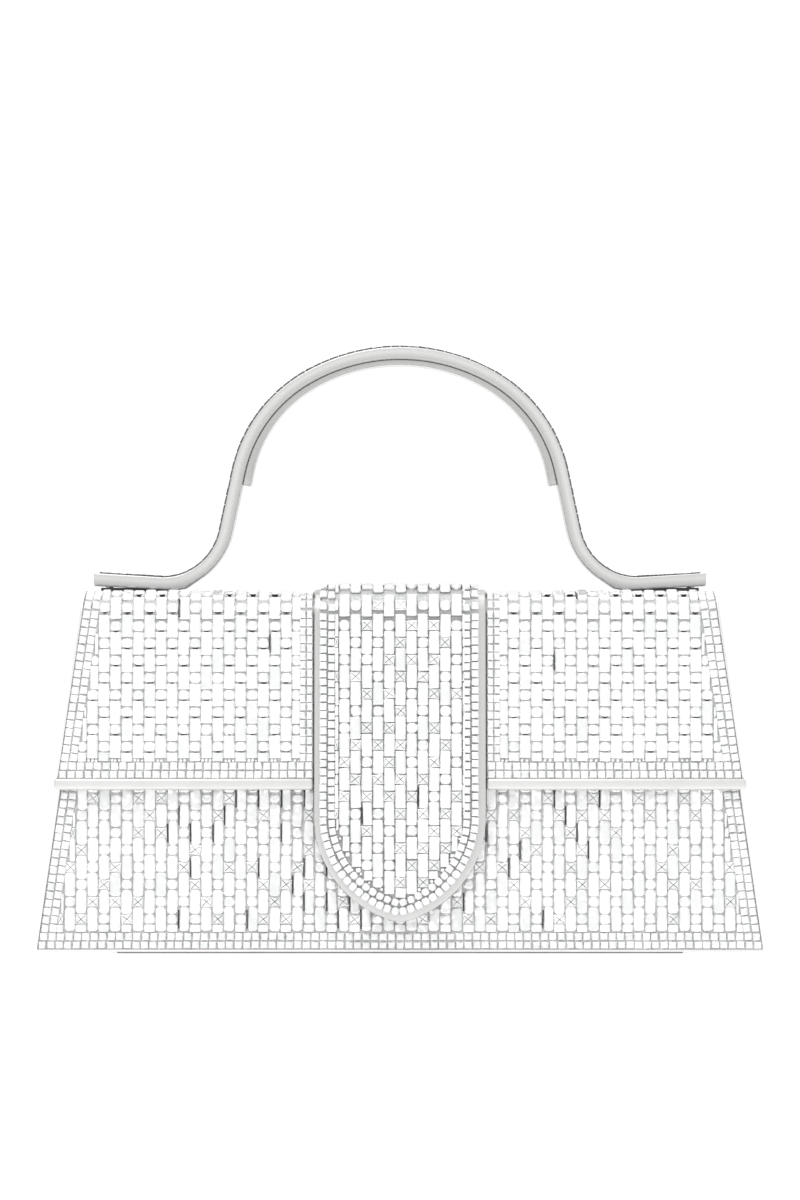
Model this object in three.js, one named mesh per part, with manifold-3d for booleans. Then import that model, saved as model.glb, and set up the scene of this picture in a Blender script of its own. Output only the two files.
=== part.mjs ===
// A structured evening purse: a tapered box body covered in crystal sheets, a two-part flap
// (top and front) that closes with a pointed centre tab and a magnetic snap, and a rigid
// arched top handle.
// Millimetres, +Z up, +X to the purse's right as seen from the front, front towards -Y.
// The origin is the centre of the flat base.
import * as THREE from "three";
import { mergeVertices } from "three/addons/utils/BufferGeometryUtils.js";
import Module from "manifold-3d";

const wasm = await Module();
wasm.setup();

// ---------------------------------------------------------------- driving dimensions
const GAP = 0.3; // clearance between neighbouring pieces
const SEAM = 0.25; // clearance between bonded layers
const BASE_HALF_WIDTH = 105;
const TOP_HALF_WIDTH = 90.2; // of the body, at SKIN_TOP
const BASE_HALF_DEPTH = 30;
const TOP_HALF_DEPTH = 21;
const SKIN_TOP = 105; // top of the crystals on the closed flap

const BOARD = 2; // stiffener board of a wall
const STONE = 2; // crystal sheet: mesh backing and stones
const LINING = 0.6;
const LINING_SLACK = 1.2; // room between a wall board and the lining, for the snap's washer
const BOARD_TRIM = 0.2; // how far a wall's board and crystals stop short of its side edges
const STONE_TRIM = 0.1;

const PAD_THICKNESS = 0.5; // wear pad under the base
const PAD_HALF = [82, 24];
const BASE_THICKNESS = 1.2;
const RIM_THICKNESS = 1.5; // binding round the mouth
const RIM_TOP = 98.9;

const TOP_LINING = 0.55;
const HANDLE_PLATE = 1.25;
const TOP_BOARD = 1.45;
const TOP_STONE = 1.8;
const TOP_OVERLAP = 0.5; // how far the top's crystals reach past the flat board

const FLAP_HALF_WIDTH = [99.3, 91]; // at the flap's bottom and at the fold
const FLAP_BOTTOM = 48;
const FLAP_REST_GAP = 0.4; // between the closed flap and the front crystals
const FLAP_LINING = 0.5;
const FLAP_BOARD = 1.6;
const FLAP_STEP = 0.2; // from the front fold's axis height up to the flat flap's top edge
const FLAP_LINING_TRIM = 1.5;
const BINDING_HEIGHT = 2.6; // edge strip along the flap's bottom
const FRONT_FOLD_RADIUS = 5;
const REAR_FOLD_RADIUS = 4;
const FOLD_STRIP = 1; // fabric of a fold
const FOLD_SLIT = 2.5; // degrees of clearance each side of a fold's middle
const FOLD_START = 4; // degrees of clearance to the boards

const TAB_HALF_WIDTH = 24.8;
const TAB_TIP = 9; // height of the tab's point
const TAB_CURVE_START = 39.7; // where the straight sides start to curve in
const TAB_BACKING = 2.2;
const TAB_MARGIN = 1.7; // bare edge outside the crystals
const TAB_BORDER = 5.2; // two rows of square crystals
const TAB_LINING = 0.55;

const HANDLE_WIDTH = 16;
const HANDLE_THICKNESS = 3.6;
const HANDLE_CROWN = 176.5; // outer face of the wrap at the top of the arch
const HANDLE_END = 90.5; // half length over the feet
const CROWN_RADIUS = 56.3;
const CROWN_ANGLE = 30; // degrees from vertical where the crown meets the shoulder
const SHOULDER_RADIUS = 43.6;
const LEG_LEAN = 12; // degrees from vertical
const FOOT_RADIUS = 17.5;
const FOOT_CREASE = 57; // degrees from vertical where the underside runs straight to its corner
const WRAP_FLOOR = 0.9;
const WRAP_WALL = 1.1;
const CORE_THICKNESS = 1.3;
const HANDLE_STONE = 1.6;
const HANDLE_STONE_PROUD = 0.7;
const GRIP_THICKNESS = 2.2;
const GRIP_WIDTH = 13;
const GRIP_LEG = 3.4; // how far the grip runs down the straight leg

const SNAP_HEIGHT = 21.5; // up the front wall
const SOCKET_RADIUS = 7;
const SOCKET_PROUD = 0.9;
const SOCKET_BORE = 3.5;
const SOCKET_FLOOR = -1.5; // depth of the bore's floor
const STUD_RADIUS = 6.5;
const STUD_DISC = 0.85;
const STUD_NOSE = 2.7;
const STUD_NOSE_END = -0.5;
const SHANK = 1.6;
const WASHER = 0.6;
const WASHER_RADIUS = 5;
const SNAP_CHAMFER = 0.4;
const SNAP_SEAM = 0.15; // clearance between the snap's pieces and their seats

const PLATE_X = [70.5, 89]; // ends of each steel plate
const PLATE_HALF_DEPTH = 6.5;
const SCREW_X = [75.5, 85.5]; // along each foot
const SCREW_SHANK = 1.15;
const SCREW_HEAD = 2.3;
const HOLE_CLEARANCE = 0.25;
const PAST = 0.01; // how far a countersink's cutter passes each face of its plate

// ---------------------------------------------------------------- worked-out sizes
const deg = THREE.MathUtils.degToRad;
const FRONT_LEAN = Math.atan((BASE_HALF_DEPTH - TOP_HALF_DEPTH) / SKIN_TOP);
const SIDE_LEAN = Math.atan((BASE_HALF_WIDTH - TOP_HALF_WIDTH) / SKIN_TOP);
const halfWidth = (z) => BASE_HALF_WIDTH - z * Math.tan(SIDE_LEAN);
const halfDepth = (z) => BASE_HALF_DEPTH - z * Math.tan(FRONT_LEAN);

const BASE_Z = PAD_THICKNESS + SEAM;
const WALL_FOOT = BASE_Z + BASE_THICKNESS + GAP;
// A leaning board's inner edge dips, so boards and crystals start a little higher than the base.
const BOARD_FOOT = WALL_FOOT + (STONE + GAP + BOARD) * Math.sin(SIDE_LEAN);
const STONE_FOOT = WALL_FOOT + STONE * Math.sin(SIDE_LEAN);
const WALL_TOP = RIM_TOP - RIM_THICKNESS - GAP;

// Depths in the front wall's own frame, measured outwards from the face of the front crystals.
const BOARD_OUT = -STONE - GAP;
const BOARD_IN = BOARD_OUT - BOARD;
const LINING_OUT = BOARD_IN - LINING_SLACK;
const FLAP_LINING_IN = FLAP_REST_GAP;
const FLAP_BOARD_IN = FLAP_LINING_IN + FLAP_LINING + SEAM;
const FLAP_BOARD_OUT = FLAP_BOARD_IN + FLAP_BOARD;
const FLAP_STONE_IN = FLAP_BOARD_OUT + SEAM;
const TAB_STONE_IN = FLAP_STONE_IN + TAB_BACKING + SEAM;

// Heights of the closed flap's top layers.
const TOP_LINING_Z = RIM_TOP + GAP;
const PLATE_Z = TOP_LINING_Z + TOP_LINING + SEAM;
const TOP_STONE_Z = SKIN_TOP - TOP_STONE;
const TOP_BOARD_Z = TOP_STONE_Z - SEAM - TOP_BOARD;
const MESH_TOP = TOP_BOARD_Z + TOP_BOARD; // outer face of the top board

// Both folds are arcs that join the top board's outer face to a wall's outer face.
function foldCentre(radius, wallFace, side) {
  const z = MESH_TOP - radius;
  const y = side * (halfDepth(z) + wallFace / Math.cos(FRONT_LEAN) - radius / Math.cos(FRONT_LEAN));
  return new THREE.Vector2(y, z);
}
const FRONT_FOLD = foldCentre(FRONT_FOLD_RADIUS, FLAP_BOARD_OUT, -1);
const REAR_FOLD = foldCentre(REAR_FOLD_RADIUS, BOARD_OUT, 1);
const TOP_FRONT = FRONT_FOLD.x; // y where the flat top starts, behind the front fold
const TOP_REAR = REAR_FOLD.x; // y where the flat top ends, before the rear fold
const FLAP_TOP = FRONT_FOLD.y + FLAP_STEP; // height where the flat front of the flap starts

const HANDLE_FOOT_Z = SKIN_TOP + GAP;

// ---------------------------------------------------------------- materials
const finish = (color, roughness, metalness) =>
  new THREE.MeshStandardMaterial({ color, roughness, metalness });
const crystal = finish(0xf4f6f8, 0.12, 0.3);
const silverLeather = finish(0xd2d1cf, 0.38, 0.55);
const satinLining = finish(0xc9c6c2, 0.6, 0.0);
const board = finish(0xd9d8d5, 0.7, 0.0);
const steel = finish(0xb4b6b8, 0.3, 0.9);

// ---------------------------------------------------------------- geometry helpers
function solidOf(geometry) {
  const bare = geometry.index ? geometry.toNonIndexed() : geometry.clone();
  bare.deleteAttribute("normal");
  bare.deleteAttribute("uv");
  const merged = mergeVertices(bare, 1e-4);
  const vertProperties = merged.attributes.position.array;
  const triVerts = new Uint32Array(merged.index.array);
  return new wasm.Manifold(new wasm.Mesh({ numProp: 3, vertProperties, triVerts }));
}

function cut(geometry, ...tools) {
  const left = tools.reduce((solid, tool) => solid.subtract(solidOf(tool)), solidOf(geometry));
  const mesh = left.getMesh();
  return new THREE.BufferGeometry()
    .setAttribute("position", new THREE.BufferAttribute(mesh.vertProperties, 3))
    .setIndex(new THREE.BufferAttribute(mesh.triVerts, 1));
}

// A flat plate: a closed outline in x and y, from depth near to depth far along z.
function plate(points, near, far) {
  const slab = new THREE.ExtrudeGeometry(new THREE.Shape(points), {
    depth: far - near,
    bevelEnabled: false,
  });
  return slab.translate(0, 0, near);
}

// A disc or pin about the z axis of its frame.
function disc(x, y, radius, near, far, sides = 40) {
  return new THREE.CylinderGeometry(radius, radius, far - near, sides)
    .rotateX(Math.PI / 2)
    .translate(x, y, (near + far) / 2);
}

// A turned piece about the z axis: its profile lists [radius, depth] from the axis back to the axis.
function turned(profile, x, y) {
  const points = profile.map(([radius, depth]) => new THREE.Vector2(radius, depth));
  return new THREE.LatheGeometry(points, 40).rotateX(Math.PI / 2).translate(x, y, 0);
}

const trapezoid = (bottom, top, bottomHalf, topHalf) => [
  new THREE.Vector2(-bottomHalf, bottom),
  new THREE.Vector2(bottomHalf, bottom),
  new THREE.Vector2(topHalf, top),
  new THREE.Vector2(-topHalf, top),
];

const rectangle = (x0, x1, y0, y1) => [
  new THREE.Vector2(x0, y0),
  new THREE.Vector2(x1, y0),
  new THREE.Vector2(x1, y1),
  new THREE.Vector2(x0, y1),
];

// Points of an arc about a centre, with angles in degrees from +x.
function arc(cx, cy, radius, from, to, steps) {
  return Array.from({ length: steps + 1 }, (_, i) => {
    const a = deg(from + ((to - from) * i) / steps);
    return new THREE.Vector2(cx + radius * Math.cos(a), cy + radius * Math.sin(a));
  });
}

const purse = new THREE.Group();

function add(parent, name, geometry, material) {
  const mesh = new THREE.Mesh(geometry, material);
  mesh.name = name;
  parent.add(mesh);
  return mesh;
}

// A frame lying in the outer face of one wall: x along the wall, y up its slope, z outwards.
function wallFrame(turn, footDistance, lean) {
  const heading = new THREE.Group();
  heading.rotation.z = turn;
  const wall = new THREE.Group();
  wall.position.y = -footDistance;
  wall.rotation.x = Math.PI / 2 - lean;
  heading.add(wall);
  purse.add(heading);
  return wall;
}
const front = wallFrame(0, BASE_HALF_DEPTH, FRONT_LEAN);
const back = wallFrame(Math.PI, BASE_HALF_DEPTH, FRONT_LEAN);
const right = wallFrame(Math.PI / 2, BASE_HALF_WIDTH, SIDE_LEAN);
const left = wallFrame(-Math.PI / 2, BASE_HALF_WIDTH, SIDE_LEAN);

// Distance up a leaning wall for a height.
const upFront = (z) => z / Math.cos(FRONT_LEAN);
const upSide = (z) => z / Math.cos(SIDE_LEAN);

// ---------------------------------------------------------------- base
const centred = (halfX, halfY) => rectangle(-halfX, halfX, -halfY, halfY);
add(purse, "bottom_pad", plate(centred(PAD_HALF[0], PAD_HALF[1]), 0, PAD_THICKNESS), silverLeather);
add(
  purse,
  "base_board",
  plate(centred(BASE_HALF_WIDTH, BASE_HALF_DEPTH), BASE_Z, BASE_Z + BASE_THICKNESS),
  silverLeather,
);

// ---------------------------------------------------------------- walls and their crystal sheets
const wallPlate = (foot, near, far, trim) =>
  plate(
    trapezoid(upFront(foot), upFront(WALL_TOP), halfWidth(foot) - trim, halfWidth(WALL_TOP) - trim),
    near,
    far,
  );
const snapUp = upFront(SNAP_HEIGHT);
add(
  front,
  "front_panel",
  cut(
    wallPlate(BOARD_FOOT, BOARD_IN, BOARD_OUT, BOARD_TRIM),
    disc(0, snapUp, SHANK + HOLE_CLEARANCE, BOARD_IN - 1, BOARD_OUT + 1),
  ),
  board,
);
add(
  front,
  "front_crystal_sheet",
  cut(
    wallPlate(STONE_FOOT, -STONE, 0, STONE_TRIM),
    disc(0, snapUp, SOCKET_RADIUS + SNAP_CHAMFER, -STONE - 1, 1),
  ),
  crystal,
);
add(back, "back_panel", wallPlate(BOARD_FOOT, BOARD_IN, BOARD_OUT, BOARD_TRIM), board);
add(back, "back_crystal_sheet", wallPlate(STONE_FOOT, -STONE, 0, STONE_TRIM), crystal);

// The gussets stand between the front and back boards.
const gussetInset = STONE + 2 * GAP + BOARD; // from the body's outer face to a gusset's edge
const gussetHalf = (z) => halfDepth(z) - gussetInset;
const gussetPlate = (foot, near, far) =>
  plate(
    trapezoid(upSide(foot), upSide(WALL_TOP), gussetHalf(foot), gussetHalf(WALL_TOP)),
    near,
    far,
  );
for (const [side, frame] of [
  ["right", right],
  ["left", left],
]) {
  add(frame, "gusset_" + side, gussetPlate(BOARD_FOOT, BOARD_IN, BOARD_OUT), board);
  add(frame, "gusset_crystal_sheet_" + side, gussetPlate(STONE_FOOT, -STONE, -GAP), crystal);
}

// ---------------------------------------------------------------- lining tub and mouth binding
// A box whose four sides lean with the walls, a set distance inside them.
function taperedBox(z0, z1, inset) {
  const box = new THREE.BoxGeometry(2, 2, 1);
  const p = box.attributes.position;
  for (let i = 0; i < p.count; i += 1) {
    const z = p.getZ(i) < 0 ? z0 : z1;
    p.setXYZ(i, p.getX(i) * (halfWidth(z) - inset), p.getY(i) * (halfDepth(z) - inset), z);
  }
  return box;
}
const liningInset = -LINING_OUT;
add(
  purse,
  "lining",
  cut(
    taperedBox(WALL_FOOT, WALL_TOP, liningInset),
    taperedBox(WALL_FOOT + LINING, RIM_TOP, liningInset + LINING),
  ),
  satinLining,
);

const rimZ = RIM_TOP - RIM_THICKNESS;
const rim = (inset, z0, z1) =>
  plate(centred(halfWidth(RIM_TOP) - inset, halfDepth(RIM_TOP) - inset), z0, z1);
const rimOuter = STONE + GAP;
const rimInner = liningInset + LINING;
add(
  purse,
  "mouth_binding",
  cut(rim(rimOuter, rimZ, RIM_TOP), rim(rimInner, rimZ - 1, RIM_TOP + 1)),
  silverLeather,
);

// ---------------------------------------------------------------- folds (fabric hinges)
const foldHalfLength = TOP_HALF_WIDTH - 1;
// Half of a fold: a curved strip between two angles from vertical, mirrored for the rear.
function foldHalf(centre, radius, side, from, to) {
  const steps = 8;
  const at = (r, share) => {
    const a = deg(from + (to - from) * share);
    return new THREE.Vector2(centre.x + side * r * Math.sin(a), centre.y + r * Math.cos(a));
  };
  const outer = Array.from({ length: steps + 1 }, (_, i) => at(radius, i / steps));
  const inner = Array.from({ length: steps + 1 }, (_, i) => at(radius - FOLD_STRIP, 1 - i / steps));
  const shape = new THREE.Shape(outer.concat(inner));
  const length = 2 * foldHalfLength;
  // The outline is drawn in y and z; the extrusion then runs along x.
  const strip = new THREE.ExtrudeGeometry(shape, { depth: length, bevelEnabled: false });
  const turn = new THREE.Matrix4().makeBasis(
    new THREE.Vector3(0, 1, 0),
    new THREE.Vector3(0, 0, 1),
    new THREE.Vector3(1, 0, 0),
  );
  return strip.applyMatrix4(turn).translate(-length / 2, 0, 0);
}
const FOLD_TURN = 90 - THREE.MathUtils.radToDeg(FRONT_LEAN); // degrees a fold turns through
const upperSpan = [FOLD_START, FOLD_TURN / 2 - FOLD_SLIT];
const lowerSpan = [FOLD_TURN / 2 + FOLD_SLIT, FOLD_TURN - FOLD_START];
for (const [name, centre, radius, side] of [
  ["front", FRONT_FOLD, FRONT_FOLD_RADIUS, -1],
  ["rear", REAR_FOLD, REAR_FOLD_RADIUS, 1],
]) {
  add(purse, name + "_fold_upper", foldHalf(centre, radius, side, ...upperSpan), silverLeather);
  add(purse, name + "_fold_lower", foldHalf(centre, radius, side, ...lowerSpan), silverLeather);
}

// ---------------------------------------------------------------- top of the flap
const topHalf = FLAP_HALF_WIDTH[1];
const screwSpots = [-1, 1].flatMap((side) => SCREW_X.map((x) => side * x));
const screwHole = SCREW_SHANK + HOLE_CLEARANCE;
const screwHoles = (z0, z1) => screwSpots.map((x) => disc(x, 0, screwHole, z0, z1, 24));
const tabSide = TAB_HALF_WIDTH + GAP;

add(
  purse,
  "top_lining",
  plate(
    rectangle(-foldHalfLength, foldHalfLength, TOP_FRONT, TOP_REAR - GAP),
    TOP_LINING_Z,
    TOP_LINING_Z + TOP_LINING,
  ),
  satinLining,
);
add(
  purse,
  "top_board",
  cut(
    plate(rectangle(-topHalf, topHalf, TOP_FRONT, TOP_REAR), TOP_BOARD_Z, MESH_TOP),
    ...screwHoles(TOP_BOARD_Z - 1, MESH_TOP + 1),
  ),
  board,
);
for (const [side, sign] of [
  ["right", 1],
  ["left", -1],
]) {
  const edges = [sign * tabSide, sign * topHalf].sort((a, b) => a - b);
  const holes = SCREW_X.map((x) =>
    disc(sign * x, 0, screwHole + HOLE_CLEARANCE, TOP_STONE_Z - 1, SKIN_TOP + 1, 24),
  );
  add(
    purse,
    "top_crystal_sheet_" + side,
    cut(
      plate(rectangle(...edges, TOP_FRONT - TOP_OVERLAP, TOP_REAR + TOP_OVERLAP), TOP_STONE_Z, SKIN_TOP),
      ...holes,
    ),
    crystal,
  );
}
add(
  purse,
  "tab_top_strap",
  plate(
    rectangle(-TAB_HALF_WIDTH, TAB_HALF_WIDTH, TOP_FRONT - TOP_OVERLAP, TOP_REAR + TOP_OVERLAP),
    TOP_STONE_Z,
    TOP_STONE_Z + TAB_BACKING,
  ),
  silverLeather,
);
const tabStoneHalf = TAB_HALF_WIDTH - TAB_MARGIN;
const tabStoneZ = TOP_STONE_Z + TAB_BACKING + SEAM;
add(
  purse,
  "tab_top_crystals",
  plate(
    rectangle(-tabStoneHalf, tabStoneHalf, TOP_FRONT - TOP_OVERLAP, TOP_REAR + TOP_OVERLAP),
    tabStoneZ,
    tabStoneZ + STONE,
  ),
  crystal,
);

// ---------------------------------------------------------------- front of the flap
const flapSlope = (FLAP_HALF_WIDTH[0] - FLAP_HALF_WIDTH[1]) / (MESH_TOP - FLAP_BOTTOM);
const flapHalf = (z) => FLAP_HALF_WIDTH[0] - (z - FLAP_BOTTOM) * flapSlope;
const flapPlate = (z0, trim, near, far) =>
  plate(
    trapezoid(upFront(z0), upFront(FLAP_TOP), flapHalf(z0) - trim, flapHalf(FLAP_TOP) - trim),
    near,
    far,
  );

add(
  front,
  "flap_lining",
  flapPlate(FLAP_BOTTOM + 1, FLAP_LINING_TRIM, FLAP_LINING_IN, FLAP_LINING_IN + FLAP_LINING),
  satinLining,
);
const bindingTop = FLAP_BOTTOM + BINDING_HEIGHT;
add(front, "flap_board", flapPlate(bindingTop + GAP, GAP, FLAP_BOARD_IN, FLAP_BOARD_OUT), board);

for (const [side, sign] of [
  ["right", 1],
  ["left", -1],
]) {
  const ordered = (points) => (sign > 0 ? points : points.reverse());
  const half = (z0, z1, trim) =>
    ordered([
      new THREE.Vector2(sign * tabSide, upFront(z0)),
      new THREE.Vector2(sign * (flapHalf(z0) - trim), upFront(z0)),
      new THREE.Vector2(sign * (flapHalf(z1) - trim), upFront(z1)),
      new THREE.Vector2(sign * tabSide, upFront(z1)),
    ]);
  add(
    front,
    "flap_crystal_sheet_" + side,
    plate(half(bindingTop + GAP, FLAP_TOP, BOARD_TRIM), FLAP_STONE_IN, FLAP_STONE_IN + STONE),
    crystal,
  );
  add(
    front,
    "flap_edge_binding_" + side,
    plate(half(FLAP_BOTTOM, bindingTop, 0), FLAP_BOARD_IN, FLAP_STONE_IN + STONE - SEAM),
    silverLeather,
  );
}

// ---------------------------------------------------------------- centre tab
// The tab's outline, set in by a margin: straight sides, then two arcs that meet in a point.
const arcRadius = (TAB_HALF_WIDTH ** 2 + (TAB_CURVE_START - TAB_TIP) ** 2) / (2 * TAB_HALF_WIDTH);
function tabOutline(margin, top) {
  const radius = arcRadius - margin;
  const centreX = TAB_HALF_WIDTH - arcRadius;
  const tipAngle = -THREE.MathUtils.radToDeg(Math.acos(-centreX / radius));
  const rightSide = [
    ...arc(centreX, upFront(TAB_CURVE_START), radius, tipAngle, 0, 16),
    new THREE.Vector2(TAB_HALF_WIDTH - margin, top),
  ];
  const leftSide = rightSide
    .slice(1)
    .reverse()
    .map((p) => new THREE.Vector2(-p.x, p.y));
  return [...rightSide, ...leftSide];
}
const tabTop = upFront(FLAP_TOP);
const washerFace = FLAP_STONE_IN + TAB_BACKING - SNAP_SEAM;
const washerSeat = washerFace - WASHER - SNAP_SEAM;
const pastTab = FLAP_STONE_IN + TAB_BACKING + 1; // a depth clear outside the tab's backing
add(
  front,
  "tab_backing",
  cut(
    plate(tabOutline(0, tabTop), FLAP_STONE_IN, FLAP_STONE_IN + TAB_BACKING),
    disc(0, snapUp, SHANK + HOLE_CLEARANCE, 0, pastTab),
    disc(0, snapUp, WASHER_RADIUS + GAP, washerSeat, pastTab),
  ),
  silverLeather,
);
const tabLiningTop = upFront(FLAP_BOTTOM + GAP);
add(
  front,
  "tab_lining",
  cut(
    plate(tabOutline(1, tabLiningTop), FLAP_BOARD_OUT - TAB_LINING, FLAP_BOARD_OUT),
    disc(0, snapUp, SHANK + HOLE_CLEARANCE, 0, pastTab),
  ),
  satinLining,
);
const fieldMargin = TAB_MARGIN + TAB_BORDER;
add(
  front,
  "tab_border_crystals",
  cut(
    plate(tabOutline(TAB_MARGIN, tabTop), TAB_STONE_IN, TAB_STONE_IN + STONE),
    plate(tabOutline(fieldMargin, tabTop + 5), TAB_STONE_IN - 1, TAB_STONE_IN + STONE + 1),
  ),
  crystal,
);
add(
  front,
  "tab_field_crystals",
  plate(tabOutline(fieldMargin + GAP, tabTop), TAB_STONE_IN, TAB_STONE_IN + STONE),
  crystal,
);

// ---------------------------------------------------------------- magnetic snap
const socketWasherOut = BOARD_IN - SNAP_SEAM;
const shankEnd = socketWasherOut - WASHER;
const socketBack = BOARD_OUT + SNAP_SEAM;
add(
  front,
  "snap_socket",
  turned(
    [
      [0, shankEnd],
      [SHANK, shankEnd],
      [SHANK, socketBack],
      [SOCKET_RADIUS - SNAP_CHAMFER, socketBack],
      [SOCKET_RADIUS, socketBack + SNAP_CHAMFER],
      [SOCKET_RADIUS, SOCKET_PROUD - SNAP_CHAMFER],
      [SOCKET_RADIUS - SNAP_CHAMFER, SOCKET_PROUD],
      [SOCKET_BORE + SNAP_CHAMFER, SOCKET_PROUD],
      [SOCKET_BORE, SOCKET_PROUD - SNAP_CHAMFER],
      [SOCKET_BORE, SOCKET_FLOOR],
      [0, SOCKET_FLOOR],
    ],
    0,
    snapUp,
  ),
  steel,
);
add(
  front,
  "snap_socket_washer",
  cut(
    disc(0, snapUp, WASHER_RADIUS, shankEnd, socketWasherOut),
    disc(0, snapUp, SHANK + HOLE_CLEARANCE, shankEnd - 1, socketWasherOut + 1),
  ),
  steel,
);
const studBack = FLAP_BOARD_OUT - TAB_LINING - SNAP_SEAM;
const studFace = studBack - STUD_DISC;
const studEdge = SNAP_CHAMFER / 2;
add(
  front,
  "snap_stud",
  turned(
    [
      [0, STUD_NOSE_END],
      [STUD_NOSE - SNAP_CHAMFER, STUD_NOSE_END],
      [STUD_NOSE, STUD_NOSE_END + SNAP_CHAMFER],
      [STUD_NOSE, studFace],
      [STUD_RADIUS - studEdge, studFace],
      [STUD_RADIUS, studFace + studEdge],
      [STUD_RADIUS, studBack],
      [SHANK, studBack],
      [SHANK, washerFace],
      [0, washerFace],
    ],
    0,
    snapUp,
  ),
  steel,
);
add(
  front,
  "snap_stud_washer",
  cut(
    disc(0, snapUp, WASHER_RADIUS, washerFace - WASHER, washerFace),
    disc(0, snapUp, SHANK + HOLE_CLEARANCE, washerSeat - 1, washerFace + 1),
  ),
  steel,
);

// ---------------------------------------------------------------- handle
// The handle's line from the crown to the end of the right foot, a distance below its outer face.
const footTop = HANDLE_FOOT_Z + HANDLE_THICKNESS;
const crownCentre = new THREE.Vector2(0, HANDLE_CROWN - CROWN_RADIUS);
const shoulderCentre = new THREE.Vector2(Math.sin(deg(CROWN_ANGLE)), Math.cos(deg(CROWN_ANGLE)))
  .multiplyScalar(CROWN_RADIUS - SHOULDER_RADIUS)
  .add(crownCentre);
const legNormal = new THREE.Vector2(Math.cos(deg(LEG_LEAN)), Math.sin(deg(LEG_LEAN)));
const legTop = legNormal.clone().multiplyScalar(SHOULDER_RADIUS).add(shoulderCentre);
const legDrop = legTop.y - footTop - FOOT_RADIUS * (1 - Math.sin(deg(LEG_LEAN)));
const legDirection = new THREE.Vector2(Math.sin(deg(LEG_LEAN)), -Math.cos(deg(LEG_LEAN)));
const legFoot = legDirection
  .clone()
  .multiplyScalar(legDrop / Math.cos(deg(LEG_LEAN)))
  .add(legTop);
const footCentre = legNormal.clone().multiplyScalar(FOOT_RADIUS).add(legFoot);

function archRun(below) {
  const meet = 90 - CROWN_ANGLE;
  const crown = arc(crownCentre.x, crownCentre.y, CROWN_RADIUS - below, 90, meet, 9);
  const shoulderRadius = SHOULDER_RADIUS - below;
  const shoulder = arc(shoulderCentre.x, shoulderCentre.y, shoulderRadius, meet, LEG_LEAN, 12);
  return [...crown, ...shoulder.slice(1)];
}

function handleRun(below, end, creased = false) {
  const radius = FOOT_RADIUS + below;
  const stop = creased ? FOOT_CREASE : 90;
  const footArc = arc(footCentre.x, footCentre.y, radius, 180 + LEG_LEAN, 180 + stop, 9);
  const footZ = footCentre.y - radius;
  const run = [...archRun(below), ...footArc];
  if (creased) {
    const last = footArc[footArc.length - 1];
    const slope = Math.tan(deg(FOOT_CREASE));
    run.push(new THREE.Vector2(last.x + (last.y - footZ) * slope, footZ));
  }
  run.push(new THREE.Vector2(end, footZ));
  return run;
}

function gripRun(below) {
  const arch = archRun(below);
  const last = arch[arch.length - 1];
  return [...arch, legDirection.clone().multiplyScalar(GRIP_LEG).add(last)];
}

// A closed strip between an outer run and an inner run, mirrored about x = 0, of a width along y.
function strip(outerRun, innerRun, width) {
  const mirrored = (run) =>
    run
      .slice(1)
      .reverse()
      .map((p) => new THREE.Vector2(-p.x, p.y));
  const outer = [...mirrored(outerRun), ...outerRun];
  const inner = [...mirrored(innerRun), ...innerRun].reverse();
  return plate([...outer, ...inner].reverse(), -width / 2, width / 2).rotateX(Math.PI / 2);
}

const wrapPocketFloor = HANDLE_THICKNESS - WRAP_FLOOR;
const pocketWidth = HANDLE_WIDTH - 2 * WRAP_WALL;
const pocketEnd = HANDLE_END - WRAP_WALL;
const insertEnd = pocketEnd - GAP;
const insertWidth = pocketWidth - 2 * GAP;
add(
  purse,
  "handle_wrap",
  cut(
    strip(handleRun(0, HANDLE_END), handleRun(HANDLE_THICKNESS, HANDLE_END, true), HANDLE_WIDTH),
    strip(handleRun(-2, pocketEnd), handleRun(wrapPocketFloor, pocketEnd), pocketWidth),
    ...screwHoles(HANDLE_FOOT_Z - 1, HANDLE_FOOT_Z + HANDLE_THICKNESS),
  ),
  silverLeather,
);
const coreBelow = wrapPocketFloor - SEAM;
add(
  purse,
  "handle_core",
  cut(
    strip(handleRun(coreBelow - CORE_THICKNESS, insertEnd), handleRun(coreBelow, insertEnd), insertWidth),
    ...screwHoles(HANDLE_FOOT_Z, HANDLE_FOOT_Z + HANDLE_THICKNESS),
  ),
  steel,
);
add(
  purse,
  "handle_crystal_strip",
  strip(
    handleRun(-HANDLE_STONE_PROUD, insertEnd),
    handleRun(HANDLE_STONE - HANDLE_STONE_PROUD, insertEnd),
    insertWidth,
  ),
  crystal,
);
add(
  purse,
  "handle_grip",
  strip(
    gripRun(HANDLE_THICKNESS + SEAM),
    gripRun(HANDLE_THICKNESS + SEAM + GRIP_THICKNESS),
    GRIP_WIDTH,
  ),
  silverLeather,
);

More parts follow.
